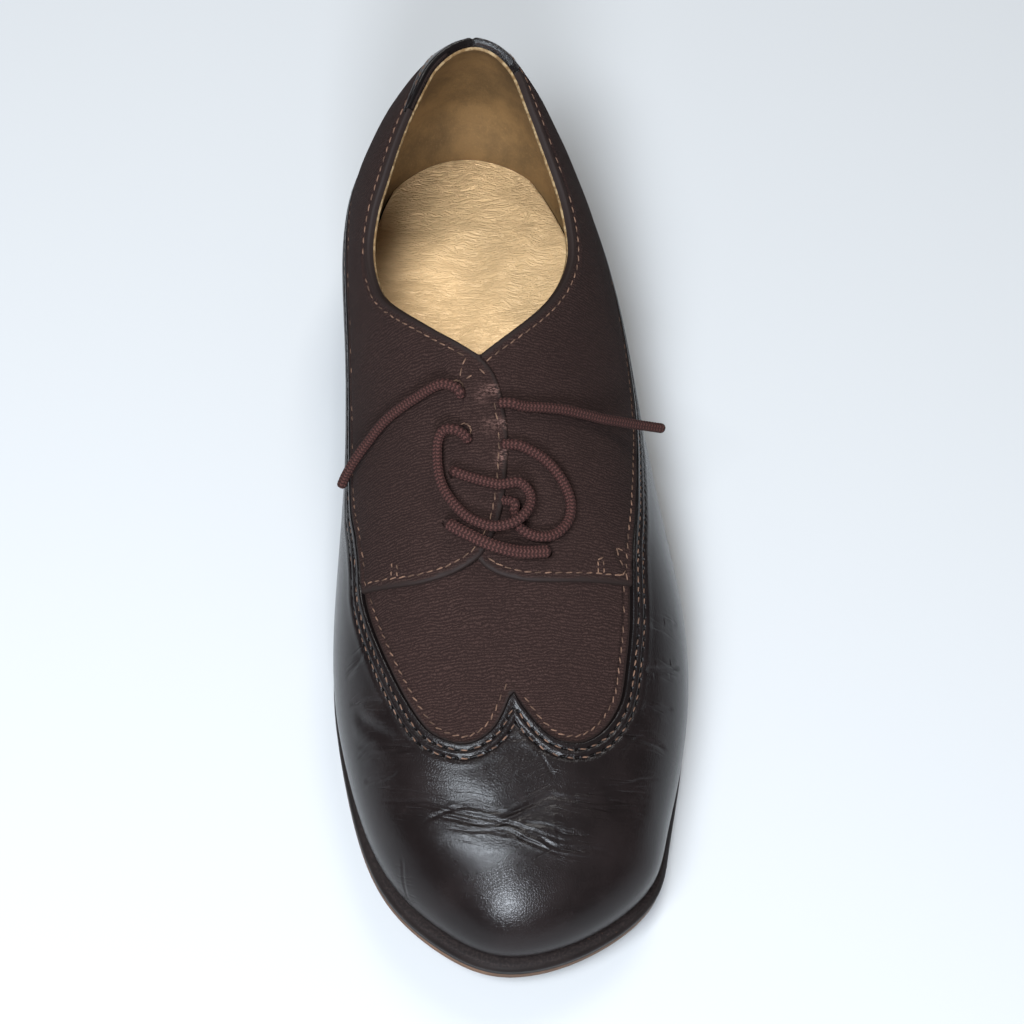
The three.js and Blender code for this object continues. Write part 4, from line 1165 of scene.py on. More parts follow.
class SHOE_OT_stage(bpy.types.Operator):
    """Floor, camera and soft lights"""

    bl_idname = "shoe.stage"
    bl_label = "Stage"

    def execute(self, context):
        context.scene.view_settings.view_transform = "Standard"
        self.camera(context)
        self.floor()
        self.lights(context)
        return {"FINISHED"}

    def camera(self, context):
        right = Vector((math.cos(CAMERA_TURN), -math.sin(CAMERA_TURN), 0))
        ahead = Vector((math.sin(CAMERA_TURN), math.cos(CAMERA_TURN), 0))
        up = Vector((0, 0, 1))
        forward = ahead * math.cos(CAMERA_ELEVATION) - up * math.sin(CAMERA_ELEVATION)
        upward = ahead * math.sin(CAMERA_ELEVATION) + up * math.cos(CAMERA_ELEVATION)
        place = Vector(CAMERA_TARGET) - right * CAMERA_LEFT - upward * CAMERA_BELOW
        place -= forward * CAMERA_DISTANCE
        data = bpy.data.cameras.new("photo_camera")
        data.lens = CAMERA_LENS
        data.clip_start = 0.01
        camera = bpy.data.objects.new("photo_camera", data)
        yaw = Matrix.Rotation(-CAMERA_YAW, 3, upward)
        turn = Matrix((yaw @ right, upward, yaw @ -forward)).transposed()
        camera.matrix_world = Matrix.Translation(place * MM) @ turn.to_4x4()
        context.scene.collection.objects.link(camera)
        context.scene.camera = camera

    def floor(self):
        reach = 3000
        corners = [(-reach, -reach, 0), (reach, -reach, 0), (reach, reach, 0), (-reach, reach, 0)]
        floor = new_object("floor", corners, [(0, 1, 2, 3)], smooth=False)
        floor.data.materials.append(floor_material())

    def lights(self, context):
        world = bpy.data.worlds.new("studio")
        world.use_nodes = True
        tree = world.node_tree
        spot = tree.nodes.new("ShaderNodeTexCoord")
        parts = tree.nodes.new("ShaderNodeSeparateXYZ")
        sky = tree.nodes.new("ShaderNodeMapRange")
        sky.interpolation_type = "SMOOTHSTEP"
        for socket, value in (("From Min", 0.1), ("From Max", 0.95), ("To Min", 0.03), ("To Max", 0.26)):
            sky.inputs[socket].default_value = value
        background = tree.nodes["Background"]
        background.inputs["Color"].default_value = (0.95, 0.97, 1, 1)
        tree.links.new(spot.outputs["Generated"], parts.inputs[0])
        tree.links.new(parts.outputs["Z"], sky.inputs["Value"])
        tree.links.new(sky.outputs[0], background.inputs["Strength"])
        context.scene.world = world
        for name, place, size, power, colour in (
                ("front_light", (-0.12, -0.85, 0.6), 0.26, 14, (0.84, 0.91, 1)),
                ("left_light", (-0.4, -0.44, 1.2), 0.5, 27, (0.84, 0.92, 1)),
                ("back_light", (0.2, 0.7, 1.25), 0.4, 9, (1, 0.99, 0.97))):
            data = bpy.data.lights.new(name, "AREA")
            data.size = size
            data.energy = power
            data.color = colour
            light = bpy.data.objects.new(name, data)
            light.location = place
            light.rotation_euler = (-Vector(place)).to_track_quat("-Z", "Y").to_euler()
            context.scene.collection.objects.link(light)


class SHOE_OT_laces(bpy.types.Operator):
    """The loosened lace: its two ends, two loops and the bar across the vamp"""

    bl_idname = "shoe.laces"
    bl_label = "Laces"

    # Where each stretch goes on down through its eyelet or under the flap's edge, before its route
    LEAD_IN = {
        "lace_end_medial": [(-14.6, 9.0, 76.2), (-14.9, 9.9, 77.9)],
        "lace_end_lateral": [(-4.5, 6.8, 76.6)],
        "lace_loop_medial": [(-13.0, -3.6, 73.2), (-13.6, -2.9, 74.6)],
        "lace_loop_lateral": [(-4.2, -4.4, 72.9)],
    }
    LEAD_OUT = {
        "lace_loop_medial": [(-17.6, -10.9, 70.2)],
        "lace_loop_lateral": [(-2.6, -20.1, 68.6), (-4.8, -19.3, 67.5)],
    }

    def execute(self, context):
        sizes = context.scene.shoe_sizes
        for name, route in LACE_ROUTES.items():
            lead = self.LEAD_IN.get(name, [])
            tail = self.LEAD_OUT.get(name, [])
            cord, path, length = cord_object(name + "_cord", lead + route + tail, sizes.lace / MM)
            finished(cord, material(lace_material), "lace", name)
        bar, _, _ = cord_object("lace_bar_cord", LACE_BAR_ROUTE, sizes.lace_bar / MM, flatness=0.8)
        finished(bar, material(lace_material), "lace", "lace_bar")
        return {"FINISHED"}


SOLE_COLUMNS = 200


def ring_layer(last, rings, start=0.0):
    """A closed layer of the sole from rings of its outline: (inset, height function) from below upwards."""
    first = math.acos(1 - 2 * start)
    angles = np.linspace(first, math.pi, SOLE_COLUMNS + 1)
    sides = [(1, angles), (-1, angles[::-1][1:] if start else angles[::-1][1:-1])]
    loops = []
    for inset, height in rings:
        loop = []
        for side, turn in sides:
            x, y, _, _ = last.outline_point(side, turn, inset)
            loop.append(np.column_stack([x, y, height((1 - np.cos(turn)) / 2)]))
        loops.append(np.concatenate(loop))
    count = len(loops[0])
    corner = np.arange(count * len(rings)).reshape(len(rings), count)
    ahead = np.roll(corner, -1, axis=1)
    faces = np.stack([corner[:-1], ahead[:-1], ahead[1:], corner[1:]], -1).reshape(-1, 4).tolist()
    lateral = SOLE_COLUMNS + 1
    for ring, up in ((0, False), (len(rings) - 1, True)):
        right = corner[ring][:lateral]
        left = corner[ring][lateral:][::-1]
        if not start:
            left = np.concatenate([[right[0]], left, [right[-1]]])
        else:
            left = np.concatenate([left, [right[-1]]])
        strip = np.stack([left[:-1], right[:-1], right[1:], left[1:]], -1)
        for quad in strip if up else strip[:, ::-1]:
            face = list(dict.fromkeys(int(c) for c in quad))
            if len(face) > 2:
                faces.append(face)
    return np.concatenate(loops), faces


def arc(centre, radius, start, stop, steps):
    """Points (inset, height) on an arc, its angles in degrees with 0 outwards and 90 up."""
    angles = np.radians(np.linspace(start, stop, steps))
    return [(centre[0] - radius * math.cos(a), centre[1] + radius * math.sin(a)) for a in angles]


class SHOE_OT_sole(bpy.types.Operator):
    """Outsole, midsole with its rim, heel block and heel lift"""

    bl_idname = "shoe.sole"
    bl_label = "Sole"

    HEEL_BREAST = 0.7
    LAYERS_APART = 0.05
    HEEL_SEAMS = 2
    SHARP_ANGLE = math.radians(50)
    # The midsole's rim, from its outer edge to the upper: how far in and how far below the top, in mm
    RIM_PROFILE = ((1.15, 0.62), (1.35, 0.4), (1.6, 0.32), (2.4, 0.28), (6, 0.25))

    def execute(self, context):
        sizes = context.scene.shoe_sizes
        last = the_last()
        outsole, midsole, gap = sizes.outsole / MM, sizes.midsole / MM, sizes.fit_gap / MM
        lift_height = sizes.heel_lift / MM
        if sizes.heel_height <= sizes.heel_lift:
            raise RuntimeError("the heel is lower than its top piece")
        edge = arc((1.2, 0.9), 0.9, -90, 0, 4) + [(0.3, outsole - 0.5)]
        edge += arc((0.7, outsole - 0.4), 0.4, 0, 90, 3)
        self.layer(last, "tread_sole", edge, last.lift, tread_material, "tread", "outsole")

        def midsole_foot(along):
            return last.lift(along) + outsole + self.LAYERS_APART

        rise = midsole + gap - self.LAYERS_APART
        edge = [(0.9, 0), (0.45, 0.05), (0.2, 0.3), *arc((1.7, rise * 0.52), 1.7, -38, 52, 9)]
        edge += [(inset, rise - below) for inset, below in self.RIM_PROFILE]
        self.layer(last, "rimmed_midsole", edge, midsole_foot, sole_material, "sole", "midsole", rim=rise)
        edge = [(3.1, 0), *arc((2.9, 0.3), 0.3, -60, 0, 3), (2.2, lift_height - 0.2), (2.4, lift_height)]
        self.layer(last, "heel_top_piece", edge, np.zeros_like, tread_material, "tread", "heel_lift",
                   start=self.HEEL_BREAST)
        self.heel(last, lift_height + self.LAYERS_APART)
        return {"FINISHED"}

    def heel(self, last, foot):
        """The stacked heel, its layers' seams cut in as grooves."""
        edge = []
        for k in range(self.HEEL_SEAMS + 1):
            low, high = k / (self.HEEL_SEAMS + 1), (k + 1) / (self.HEEL_SEAMS + 1)
            edge += [(2.15 - low, low), (1.85 - low, low + 0.03)]
            edge += [(1.85 - high, high - 0.03), (2.15 - high, high)]
        points, faces = ring_layer(last, [
            (inset, lambda along, up=up: foot + (last.lift(along) - foot) * up)
            for inset, up in edge], self.HEEL_BREAST)
        piece = new_object("stacked_heel", points, faces)
        for field in ("rim", "foot"):
            set_field(piece, field, np.zeros(len(points)))
        finished(piece, material(sole_material), "sole", "heel_block")
        piece.data.set_sharp_from_angle(angle=self.SHARP_ANGLE)

    def layer(self, last, name, edge, base, maker, slot, node, start=0.0, rim=None):
        rings = [(inset, lambda along, up=up: base(along) + up) for inset, up in edge]
        points, faces = ring_layer(last, rings, start)
        piece = new_object(name, points, faces)
        count = len(points) // len(edge)
        ups = np.repeat([up for _, up in edge], count)
        insets = np.repeat([inset for inset, _ in edge], count)
        top = smooth_step(insets, 0.5, 1.2) * (ups > (rim or 0) / 2) if rim else ups * 0
        set_field(piece, "rim", top)
        set_field(piece, "foot", (ups < 0.2).astype(float) if rim else ups * 0)
        finished(piece, material(maker), slot, node)
        piece.data.set_sharp_from_angle(angle=self.SHARP_ANGLE)


class SHOE_OT_footbed(bpy.types.Operator):
    """The golden insole and the lining above it"""

    bl_idname = "shoe.footbed"
    bl_label = "Footbed and lining"

    COLUMNS = 240
    ACROSS = 60
    HEEL_FORWARD = 12
    HEEL_BOWL = 48

    def execute(self, context):
        sizes = context.scene.shoe_sizes
        last = the_last()
        self.insole(last, sizes)
        self.lining(last, sizes)
        return {"FINISHED"}

    def insole(self, last, sizes):
        angles = np.linspace(0, math.pi, self.COLUMNS + 1)[1:-1]
        inset = (sizes.wall + sizes.fit_gap) / MM - 0.25
        edges = {}
        for side in (1, -1):
            x, y, out_x, out_y = last.feather_point(side, angles)
            edges[side] = np.stack([x - out_x * inset, y - out_y * inset], 1)
        share = (1 - np.cos(np.linspace(0, math.pi, self.ACROSS + 1))) / 2
        part = share[None, :, None]
        plan = edges[-1][:, None, :] * (1 - part) + edges[1][:, None, :] * part
        x, y = plan[..., 0], plan[..., 1]
        thickness = (sizes.insole + sizes.fit_gap) / MM
        near = np.minimum(share, 1 - share)[None, :] * np.linalg.norm(edges[1] - edges[-1], axis=1)[:, None]
        # The bed sinks a little under heel and ball, and its edge rolls down
        top = last.sole_top(last.along_of(y)) + thickness - 0.7 * np.exp(-near / 0.6)
        top += 0.5 * np.exp(-near / 7) - 0.25
        points = np.stack([x, y, top], -1).reshape(-1, 3)
        corner = np.arange(len(points)).reshape(x.shape)
        faces = np.stack([corner[:-1, :-1], corner[:-1, 1:], corner[1:, 1:], corner[1:, :-1]], -1)
        piece = new_object("golden_insole", points, faces.reshape(-1, 4))
        finished(piece, material(footbed_material), "insole", "insole")

    def lining(self, last, sizes):
        sheet = last.sheet.copy().cut("collar", 0.25, 0.5, 0.9, 1.4)
        wall = sizes.wall / MM
        distance = sheet.fields["collar"] - 0.25
        inner = -rounded(distance, wall, 0.5)
        sheet.triangles = sheet.triangles[:, ::-1]
        points, triangles, rim = sheet.walled(inner, np.full(len(sheet.points), -1.0))
        # The lining's heel comes forward towards the footbed
        above = points[:, 2] - last.sole_top(last.along_of(points[:, 1])) - sizes.insole / MM
        middle = HEEL_TIP_ACROSS * last.width / 2
        bowl = (points[:, 0] - middle) ** 2 / self.HEEL_BOWL
        past = np.maximum(0, points[:, 1] - last.length / 2 + self.HEEL_FORWARD + bowl)
        points[:, 1] -= past * (1 - smooth_step(above, -2, 22))
        piece = new_object("lining", points, triangles)
        values = sheet.fields["collar"]
        set_field(piece, "collar", np.concatenate([values, values[rim]]))
        finished(piece, material(lining_material), "insole", "upper")


# Creases drawn on the pattern: their depth and width in mm, then their course
Crease = namedtuple("Crease", "depth width course")
CREASES = [
    Crease(0.9, 5.0, (
        (0.164, -0.896), (0.145, -0.568), (0.128, -0.31), (0.122, -0.197), (0.13, -0.06),
        (0.143, 0.095), (0.14, 0.187), (0.137, 0.4), (0.145, 0.726))),
    Crease(0.34, 0.6, (
        (0.164, -0.896), (0.152, -0.671), (0.142, -0.53), (0.134, -0.425), (0.125, -0.309),
        (0.122, -0.197), (0.13, -0.076), (0.136, 0.005), (0.143, 0.095), (0.14, 0.187),
        (0.137, 0.347), (0.14, 0.505), (0.14, 0.726))),
    Crease(0.36, 0.65, (
        (0.135, -0.573), (0.13, -0.454), (0.12, -0.311), (0.118, -0.198), (0.115, -0.106),
        (0.107, -0.03), (0.102, 0.031), (0.093, 0.098), (0.091, 0.205), (0.091, 0.343),
        (0.084, 0.493))),
    Crease(0.26, 0.5, ((0.116, -0.08), (0.115, 0.025), (0.112, 0.092), (0.107, 0.165), (0.106, 0.293))),
    Crease(0.3, 0.5, (
        (0.14, 0.12), (0.144, 0.215), (0.148, 0.345), (0.155, 0.473), (0.167, 0.632),
        (0.174, 0.8))),
    Crease(0.3, 0.5, ((0.12, -0.458), (0.113, -0.339), (0.111, -0.158), (0.1, -0.048), (0.091, 0.071))),
    Crease(0.3, 0.55, ((0.128, -0.6), (0.137, -0.36), (0.127, -0.12), (0.141, 0.03))),
    Crease(0.7, 1.8, ((0.26, -1.02), (0.239, -0.879), (0.222, -0.768), (0.211, -0.695), (0.207, -0.58))),
    Crease(0.35, 0.6, ((0.227, -1.014), (0.218, -0.857), (0.211, -0.74), (0.204, -0.621))),
    Crease(0.35, 0.6, ((0.218, -1.026), (0.209, -0.863), (0.204, -0.691), (0.202, -0.565))),
    Crease(0.35, 0.7, ((0.273, -1.072), (0.262, -0.871), (0.257, -0.739))),
    Crease(0.45, 0.8, ((0.211, 0.457), (0.21, 0.547), (0.209, 0.657), (0.207, 0.848))),
    Crease(0.45, 0.8, ((0.278, 0.658), (0.283, 0.787), (0.298, 1.037))),
    Crease(0.3, 0.55, ((0.182, 0.482), (0.201, 0.562), (0.212, 0.645))),
    Crease(0.3, 0.6, ((0.199, -0.112), (0.201, -0.017), (0.203, 0.087))),
    Crease(0.12, 0.5, ((0.195, 0.033), (0.178, 0.069), (0.159, 0.125))),
    Crease(0.26, 0.5, ((0.131, -0.5), (0.124, -0.38), (0.116, -0.24), (0.121, -0.1), (0.132, 0.02))),
    Crease(0.24, 0.45, (
        (0.137, -0.48), (0.129, -0.34), (0.118, -0.15), (0.11, -0.02), (0.1, 0.12),
        (0.096, 0.27))),
    Crease(0.22, 0.45, ((0.112, -0.3), (0.106, -0.14), (0.096, 0.0), (0.086, 0.13), (0.082, 0.3))),
    Crease(0.24, 0.45, ((0.133, 0.2), (0.131, 0.36), (0.134, 0.52), (0.131, 0.66))),
    Crease(0.24, 0.45, ((0.147, 0.24), (0.146, 0.4), (0.151, 0.56), (0.15, 0.7))),
    Crease(0.3, 0.6, ((0.325, 0.74), (0.33, 0.88), (0.343, 1.06))),
    Crease(0.3, 0.6, ((0.238, 0.62), (0.243, 0.75), (0.252, 0.93))),
    Crease(0.3, 0.6, ((0.3, -1.1), (0.305, -0.98), (0.315, -0.88))),
    Crease(0.35, 0.7, ((0.19, -0.98), (0.183, -0.82), (0.186, -0.68))),
    Crease(0.22, 0.5, ((0.1, -0.74), (0.068, -0.79), (0.04, -0.82))),
]


# A crease's reach to its sides and the corridor in which the sheet is split for it, each in widths and mm
CREASE_REACH = (3.5, 4)
CREASE_CORRIDOR = (1.5, 2)
FAR_AWAY = 99.0


def crease_course(last, crease):
    return np.array(smooth_run([last.flat(*mark) for mark in crease.course], 8))


def crease_splits(width):
    """Where the sheet is split beside a crease, in widths: a broad fold needs no splits."""
    if width > 2:
        return ()
    return (0, -0.7, 0.7, -1.5, 1.5) if width > 0.6 else (0, -1.1, 1.1)


def creased(last, sheet):
    """Cuts a sheet along the creases, adds their fields to it and gives the sheet and their relief in mm."""
    for k, crease in enumerate(CREASES):
        line = crease_course(last, crease)
        places, _ = last.on_last(line)
        known = ~np.isnan(places[:, 0])
        places, line = places[known], line[known]
        spread = CREASE_REACH[0] * crease.width + CREASE_REACH[1]
        low, high = places.min(0) - spread, places.max(0) + spread
        near = np.all((sheet.points > low) & (sheet.points < high), axis=1)
        gap, run, index = nearest_on(places, sheet.points[near], False)
        length = np.linalg.norm(np.diff(places, axis=0), axis=1).sum()
        ahead = line[index + 1] - line[index]
        aside = sheet.flats[near] - line[index]
        gap *= np.where(ahead[:, 0] * aside[:, 1] - ahead[:, 1] * aside[:, 0] > 0, 1, -1)
        fade = smooth_step(run, 0, length * 0.16) * (1 - smooth_step(run, length * 0.8, length))
        fade *= smooth_step(np.abs(gap), spread * 0.9, spread * 0.6)
        corridor = np.abs(gap) < CREASE_CORRIDOR[0] * crease.width + CREASE_CORRIDOR[1]
        count = len(sheet.points)
        for name, away, values in (
                ("gap", np.nan, np.where(corridor & (fade > 0), gap, np.nan)),
                (f"gap_{k}", FAR_AWAY, gap),
                (f"fade_{k}", 0.0, fade * (0.85 + 0.15 * np.sin(run * 0.22 + crease.width * 7)))):
            sheet.fields[name] = np.full(count, away)
            sheet.fields[name][near] = values
        for share in crease_splits(crease.width):
            sheet = sheet.split("gap", share * crease.width)
        del sheet.fields["gap"]
    relief = np.zeros(len(sheet.points))
    mask = np.zeros(len(sheet.points))
    for k, crease in enumerate(CREASES):
        gap, fade, width = sheet.fields.pop(f"gap_{k}"), sheet.fields.pop(f"fade_{k}"), crease.width
        shape = bell(gap, width) - 0.4 * bell(gap - 1.9 * width, width) - 0.4 * bell(gap + 1.9 * width, width)
        relief -= 0.8 * crease.depth * fade * shape
        mask = np.maximum(mask, fade * bell(gap, 3 + width * 0.5))
    main = crease_course(last, CREASES[0])
    bend = np.interp(sheet.flats[:, 0], main[:, 0], main[:, 1])
    sheet.fields["crease"] = mask
    sheet.fields["wrinkle_u"] = sheet.flats[:, 0]
    sheet.fields["wrinkle_v"] = sheet.flats[:, 1] - bend
    return sheet, relief


# Rubbed places on the inner flap's edge: the ends of each on the pattern
FLAP_RUBS = [
    ((0.537, -0.173), (0.545, -0.078)), ((0.504, -0.145), (0.508, -0.013)), ((0.47, -0.09), (0.485, -0.03)),
]


def rubbed(last, sheet):
    """How worn the cloth is beside the rub marks, from 0 to 1."""
    worn = np.zeros(len(sheet.points))
    for ends in FLAP_RUBS:
        places, _ = last.on_last([last.flat(*end) for end in ends])
        gap, _, _ = nearest_on(places, sheet.points, False)
        worn = np.maximum(worn, bell(gap, 1.1))
    return worn


def weave_relief(sheet):
    """Soft unevenness of worn cloth, in mm."""
    u, v = sheet.flats.T
    return 0.1 * np.sin(u * 0.21 + 1.3 * np.sin(v * 0.07)) * np.sin(v * 0.26 + np.sin(u * 0.05))


@lru_cache(maxsize=1)
def vamp_parts():
    """The vamp's sheet and its relief."""
    sheet = the_last().sheet.copy()
    sheet.fields["covered"] = np.maximum(sheet.fields["medial"], sheet.fields["lateral"])
    sheet = sheet.cut("window", -1.0, 0, 0.8, 1.6, ROW_CLOTH, 2.8)
    sheet = sheet.keep("covered", high=26).cut("collar", 0.6)
    window = sheet.fields["window"]
    sheet.fields["fold"] = smooth_step(window, 0.8, 0.5)
    height = weave_relief(sheet) * smooth_step(window, 2, 8)
    height += 0.12 * bell(window - 0.9, 0.6) - 0.3 * bell(window - ROW_CLOTH, 0.5)
    height += 0.2 * bell(window - 3.4, 0.9)
    return sheet, height


@lru_cache(maxsize=1)
def mudguard_parts():
    """The mudguard's sheet and its relief."""
    sizes = bpy.context.scene.shoe_sizes
    last = the_last()
    top = (sizes.fit_gap + sizes.leather) / MM
    sheet = last.sheet.copy()
    sheet = sheet.cut("leather", 0, 0.12, 0.3, 0.6, 1.3, ROW_NEAR, 2.6, 3.2, 3.8, ROW_FAR, 4.9, 5.8)
    sheet, creases = creased(last, sheet)
    distance = sheet.fields["leather"]
    phase = 2 * math.pi * sheet.fields["window_run"] / (sizes.stitch / MM)
    pucker = 0.7 - 0.3 * np.cos(phase)
    height = rounded(distance, top, 0.6)
    height -= 0.42 * bell(distance - ROW_NEAR, 0.42) * pucker
    height -= 0.55 * bell(distance - ROW_FAR, 0.55) * pucker
    height += 0.25 * bell(distance - (ROW_NEAR + ROW_FAR) / 2, 0.8)
    height += 0.15 * bell(distance - 5.8, 1.1)
    height += creases * smooth_step(distance, 3, 7)
    foot_gap = sheet.points[:, 2] - last.sole_top(last.along_of(sheet.points[:, 1]))
    height -= 0.7 * np.exp(-foot_gap / 1.5)
    return sheet, height


@lru_cache(maxsize=2)
def quarter_parts(name):
    """A quarter's sheet, its relief and its foot."""
    sizes = bpy.context.scene.shoe_sizes
    last = the_last()
    top = (sizes.fit_gap + sizes.cloth) / MM
    sheet = last.sheet.copy().cut("window", 0.1, 0.8, 1.6, ROW_CLOTH, 2.8)
    sheet = sheet.cut("collar", 0, 0.15, 0.4, 0.8, 1.9, ROW_FLAP, 3.2)
    sheet = sheet.cut(name, 0, 0.12, 0.3, 0.6, 1.9, ROW_FLAP, 3.2)
    radius = sizes.eyelet / MM / 2
    for mark in EYELETS:
        centre, _ = last.on_last([last.flat(mark.along, mark.across)])
        gap = np.linalg.norm(sheet.points - centre[0], axis=1)
        if gap.min() > 3 or (name == "lateral") != (mark.across > 0):
            continue
        sheet.fields["eyelet"] = gap
        sheet = sheet.cut("eyelet", radius, radius + 0.3, radius + 0.7, radius + 1.2)
    flap, collar, window = (sheet.fields[key] for key in (name, "collar", "window"))
    edge = np.minimum(flap, collar)
    height = rounded(edge, top - 0.15, 0.9) + 0.15 * smooth_step(edge, 1, 4)
    height += 0.05 * bell(edge - 1.2, 0.7) - 0.16 * bell(edge - ROW_FLAP, 0.45)
    height += 0.15 * bell(edge - 3.8, 0.9) + weave_relief(sheet) * smooth_step(edge, 3, 8)
    height += (0.1 * bell(window - 0.9, 0.6) - 0.28 * bell(window - ROW_CLOTH, 0.5)) * smooth_step(edge, 1, 3)
    if name == "medial":
        across = 2 * sheet.flats[:, 0] / last.width
        along = sheet.flats[:, 1] / last.length + 0.5
        climb = smooth_step(across, *OVERLAP_CLIMB) * (1 - smooth_step(along, *OVERLAP_FADE))
        height += top * climb
    sheet.fields["fold"] = np.maximum(smooth_step(edge, 1.3, 1.0), smooth_step(window, 0.8, 0.5))
    sheet.fields["rub"] = rubbed(last, sheet) if name == "medial" else np.zeros(len(sheet.points))
    foot = np.where(collar < 0.01, -0.9, np.where(flap < 0.01, height - 1.2, -0.4))
    return sheet, height, foot


@lru_cache(maxsize=1)
def backstay_parts():
    """The heel patch's sheet and its relief."""
    sizes = bpy.context.scene.shoe_sizes
    top = (sizes.fit_gap + sizes.leather) / MM + 0.1
    sheet = the_last().sheet.copy().cut("window", 0.05).cut("collar", 0, 0.15, 0.4, 0.8)
    sheet = sheet.cut("backstay", 0, 0.12, 0.3, 0.6)
    edge = np.minimum(sheet.fields["backstay"], sheet.fields["collar"])
    seam = np.abs(sheet.flats[:, 0] - the_last().flat(0, -0.09)[0])
    height = rounded(edge, top, 0.6) - 0.35 * bell(seam, 0.5) + 0.15 * bell(seam - 1.3, 0.8)
    height -= 0.2 * bell(sheet.fields["backstay"] - ROW_BACKSTAY, 0.4)
    sheet.fields["crease"] = bell(seam, 4) * 0.6
    sheet.fields["wrinkle_u"] = sheet.flats[:, 0]
    sheet.fields["wrinkle_v"] = sheet.flats[:, 1]
    sheet.fields["leather"] = np.minimum(edge, 1.2)
    return sheet, height


class SHOE_OT_vamp(bpy.types.Operator):
    """The cloth vamp behind the wing"""

    bl_idname = "shoe.vamp"
    bl_label = "Vamp"

    def execute(self, context):
        sheet, height = vamp_parts()
        piece = sheet_object("cloth_vamp", sheet, height, -0.8, ["fold"])
        finished(piece, material(cloth_material), "fabric", "upper")
        return {"FINISHED"}


LEATHER_FIELDS = ["leather", "window_run", "crease", "wrinkle_u", "wrinkle_v"]


class SHOE_OT_mudguard(bpy.types.Operator):
    """The leather mudguard with its wing tip"""

    bl_idname = "shoe.mudguard"
    bl_label = "Mudguard"

    def execute(self, context):
        sheet, height = mudguard_parts()
        piece = sheet_object("leather_mudguard", sheet, height, -0.4, LEATHER_FIELDS)
        finished(piece, material(leather_material), "leather", "mudguard")
        return {"FINISHED"}


class SHOE_OT_quarters(bpy.types.Operator):
    """The two cloth quarters with their flaps, folded edges and eyelets"""

    bl_idname = "shoe.quarters"
    bl_label = "Quarters"

    def execute(self, context):
        for name in ("lateral", "medial"):
            sheet, height, foot = quarter_parts(name)
            piece = sheet_object("cloth_quarter_" + name, sheet, height, foot, ["fold", "rub"])
            finished(piece, material(cloth_material), "fabric", "quarter_" + name)
        return {"FINISHED"}


class SHOE_OT_backstay(bpy.types.Operator):
    """The leather patch at the back of the collar"""

    bl_idname = "shoe.backstay"
    bl_label = "Backstay"

    def execute(self, context):
        sheet, height = backstay_parts()
        foot = np.where(sheet.fields["collar"] < 0.01, -0.9, 0)
        piece = sheet_object("leather_backstay", sheet, height, foot, LEATHER_FIELDS)
        finished(piece, material(leather_material), "leather", "backstay")
        return {"FINISHED"}


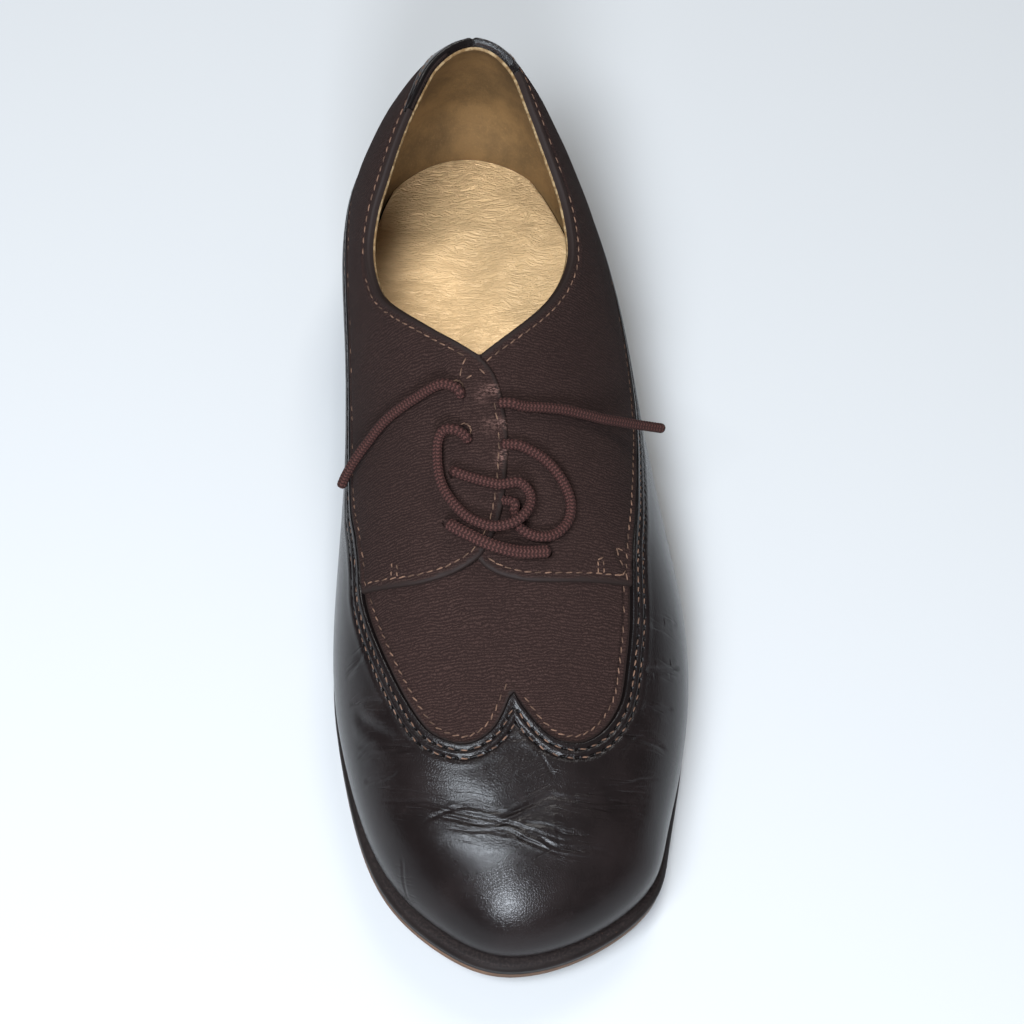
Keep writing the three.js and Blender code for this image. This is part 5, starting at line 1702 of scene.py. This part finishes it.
class SHOE_OT_stitches(bpy.types.Operator):
    """The seams' threads, the short tacks on the flaps and the thread round the eyelets"""

    bl_idname = "shoe.stitches"
    bl_label = "Stitches"

    # Short double tacks on the flaps, as turns on the pattern
    TACKS = (
        ((0.3736, -0.716), (0.3893, -0.708)), ((0.3714, -0.676), (0.3854, -0.675)),
        ((0.3625, 0.425), (0.3761, 0.43)), ((0.3772, 0.434), (0.3795, 0.459)),
        ((0.3785, 0.463), (0.3632, 0.462)),
    )

    def execute(self, context):
        sizes = context.scene.shoe_sizes
        last = the_last()
        stitches = Stitches(sizes.stitch / MM, sizes.thread / MM)

        def sew(sheet, height, name, level, slant, where=None):
            raised = sheet.raised(height)
            for line in contours(sheet, name, level):
                data = {key: along_contour(values, line) for key, values in sheet.fields.items()}
                run = data.get("window_run" if name == "leather" else name + "_run")
                kept = where(data) if where else None
                normals = unit(along_contour(sheet.normals, line))
                stitches.row(along_contour(raised, line), normals, run, slant, kept)

        sheet, height = mudguard_parts()
        sew(sheet, height, "leather", ROW_NEAR, -10)
        sew(sheet, height, "leather", ROW_FAR, -10)
        sheet, height = vamp_parts()
        sew(sheet, height, "window", ROW_CLOTH, 16, self.beside_flaps)
        for name in ("lateral", "medial"):
            self.quarter(name, sew)
        self.eyelets(last, stitches, sizes)
        sheet, height = backstay_parts()
        sew(sheet, height, "backstay", ROW_BACKSTAY, 6, self.below_collar)
        self.tacks(last, stitches, sizes)
        piece = stitches.mesh("stitches")
        finished(piece, material(thread_material), "lace")
        return {"FINISHED"}

    @staticmethod
    def beside_flaps(data):
        return np.maximum(data["medial"], data["lateral"]) < -0.5

    @staticmethod
    def below_collar(data):
        return data["collar"] > 1

    @staticmethod
    def quarter(name, sew):
        """A quarter's three seams, where no other panel covers them."""
        sheet, height, _ = quarter_parts(name)

        def seen(data):
            return data["medial"] < -0.8 if name == "lateral" else data["medial"] > -9

        def foot(data):
            return seen(data) & (data[name] > 0.8) & (data["collar"] > 1) & (data["backstay"] < -0.3)

        def flap(data):
            return seen(data) & (data["window"] > 2.4) & (data["collar"] > ROW_FLAP)

        def brim(data):
            return seen(data) & (data["backstay"] < -0.3) & (data[name] > ROW_FLAP)

        sew(sheet, height, "window", ROW_CLOTH, 16, foot)
        sew(sheet, height, name, ROW_FLAP, 6, flap)
        sew(sheet, height, "collar", ROW_FLAP, 6, brim)

    @staticmethod
    def eyelets(last, stitches, sizes):
        """The thread round the medial flap's two upper eyelets."""
        sheet, height, _ = quarter_parts("medial")
        raised = sheet.raised(height)
        for mark in EYELETS[:2]:
            centre, normal = last.on_last([last.flat(mark.along, mark.across)])
            nearest = np.argsort(np.linalg.norm(sheet.points - centre[0], axis=1))[:12]
            centre = centre[0] + normal[0] * ((raised[nearest] - centre[0]) @ normal[0]).mean()
            east = unit(np.cross([0.0, 1.0, 0.0], normal[0]))
            north = np.cross(normal[0], east)
            angles = np.radians(np.arange(-75, 90, 27))
            out = np.cos(angles)[:, None] * east + np.sin(angles)[:, None] * north
            ahead = np.cos(angles)[:, None] * north - np.sin(angles)[:, None] * east
            ring = centre + out * (sizes.eyelet / MM / 2 + 0.45)
            upright = np.broadcast_to(normal[0], ring.shape)
            stitches.single(ring, upright, ahead, 1.3, slant=14, rise=0.15, dip=0.2)

    def tacks(self, last, stitches, sizes):
        lift = (sizes.fit_gap + sizes.cloth) / MM
        for start, stop in self.TACKS:
            ends, normals = last.on_last([last.flat(*start), last.flat(*stop)])
            count = max(2, int(np.linalg.norm(ends[1] - ends[0]) / 1.7))
            share = ((np.arange(count) + 0.5) / count)[:, None]
            centre = ends[0] * (1 - share) + ends[1] * share + normals.mean(0) * lift
            ahead = np.broadcast_to(unit(ends[1] - ends[0]), centre.shape)
            normal = np.broadcast_to(unit(normals.mean(0)), centre.shape)
            stitches.single(centre, normal, ahead, 1.5, slant=6, rise=0.12, dip=0.3)


class SHOE_PT_panel(bpy.types.Panel):
    """The shoe's pieces, in the sidebar"""

    bl_idname = "SHOE_PT_panel"
    bl_label = "Lace-up shoe"
    bl_space_type = "VIEW_3D"
    bl_region_type = "UI"
    bl_category = "Shoe"

    def draw(self, context):
        for operator in OPERATORS:
            self.layout.operator(operator.bl_idname)
        for group in (context.scene.shoe_sizes, context.scene.shoe_colours):
            box = self.layout.box()
            for name in group.__annotations__:
                box.prop(group, name)


OPERATORS = (
    SHOE_OT_stage, SHOE_OT_laces, SHOE_OT_sole, SHOE_OT_footbed, SHOE_OT_vamp, SHOE_OT_mudguard,
    SHOE_OT_quarters, SHOE_OT_backstay, SHOE_OT_stitches,
)
CLASSES = (ShoeSizes, ShoeColours, *OPERATORS, SHOE_PT_panel)


def register():
    for cls in CLASSES:
        bpy.utils.register_class(cls)
    bpy.types.Scene.shoe_sizes = PointerProperty(type=ShoeSizes)
    bpy.types.Scene.shoe_colours = PointerProperty(type=ShoeColours)


def unregister():
    del bpy.types.Scene.shoe_colours
    del bpy.types.Scene.shoe_sizes
    for cls in reversed(CLASSES):
        bpy.utils.unregister_class(cls)


def main():
    register()
    for operator in OPERATORS:
        group, name = operator.bl_idname.split(".")
        getattr(getattr(bpy.ops, group), name)()
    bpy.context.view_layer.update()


if __name__ == "__main__":
    main()
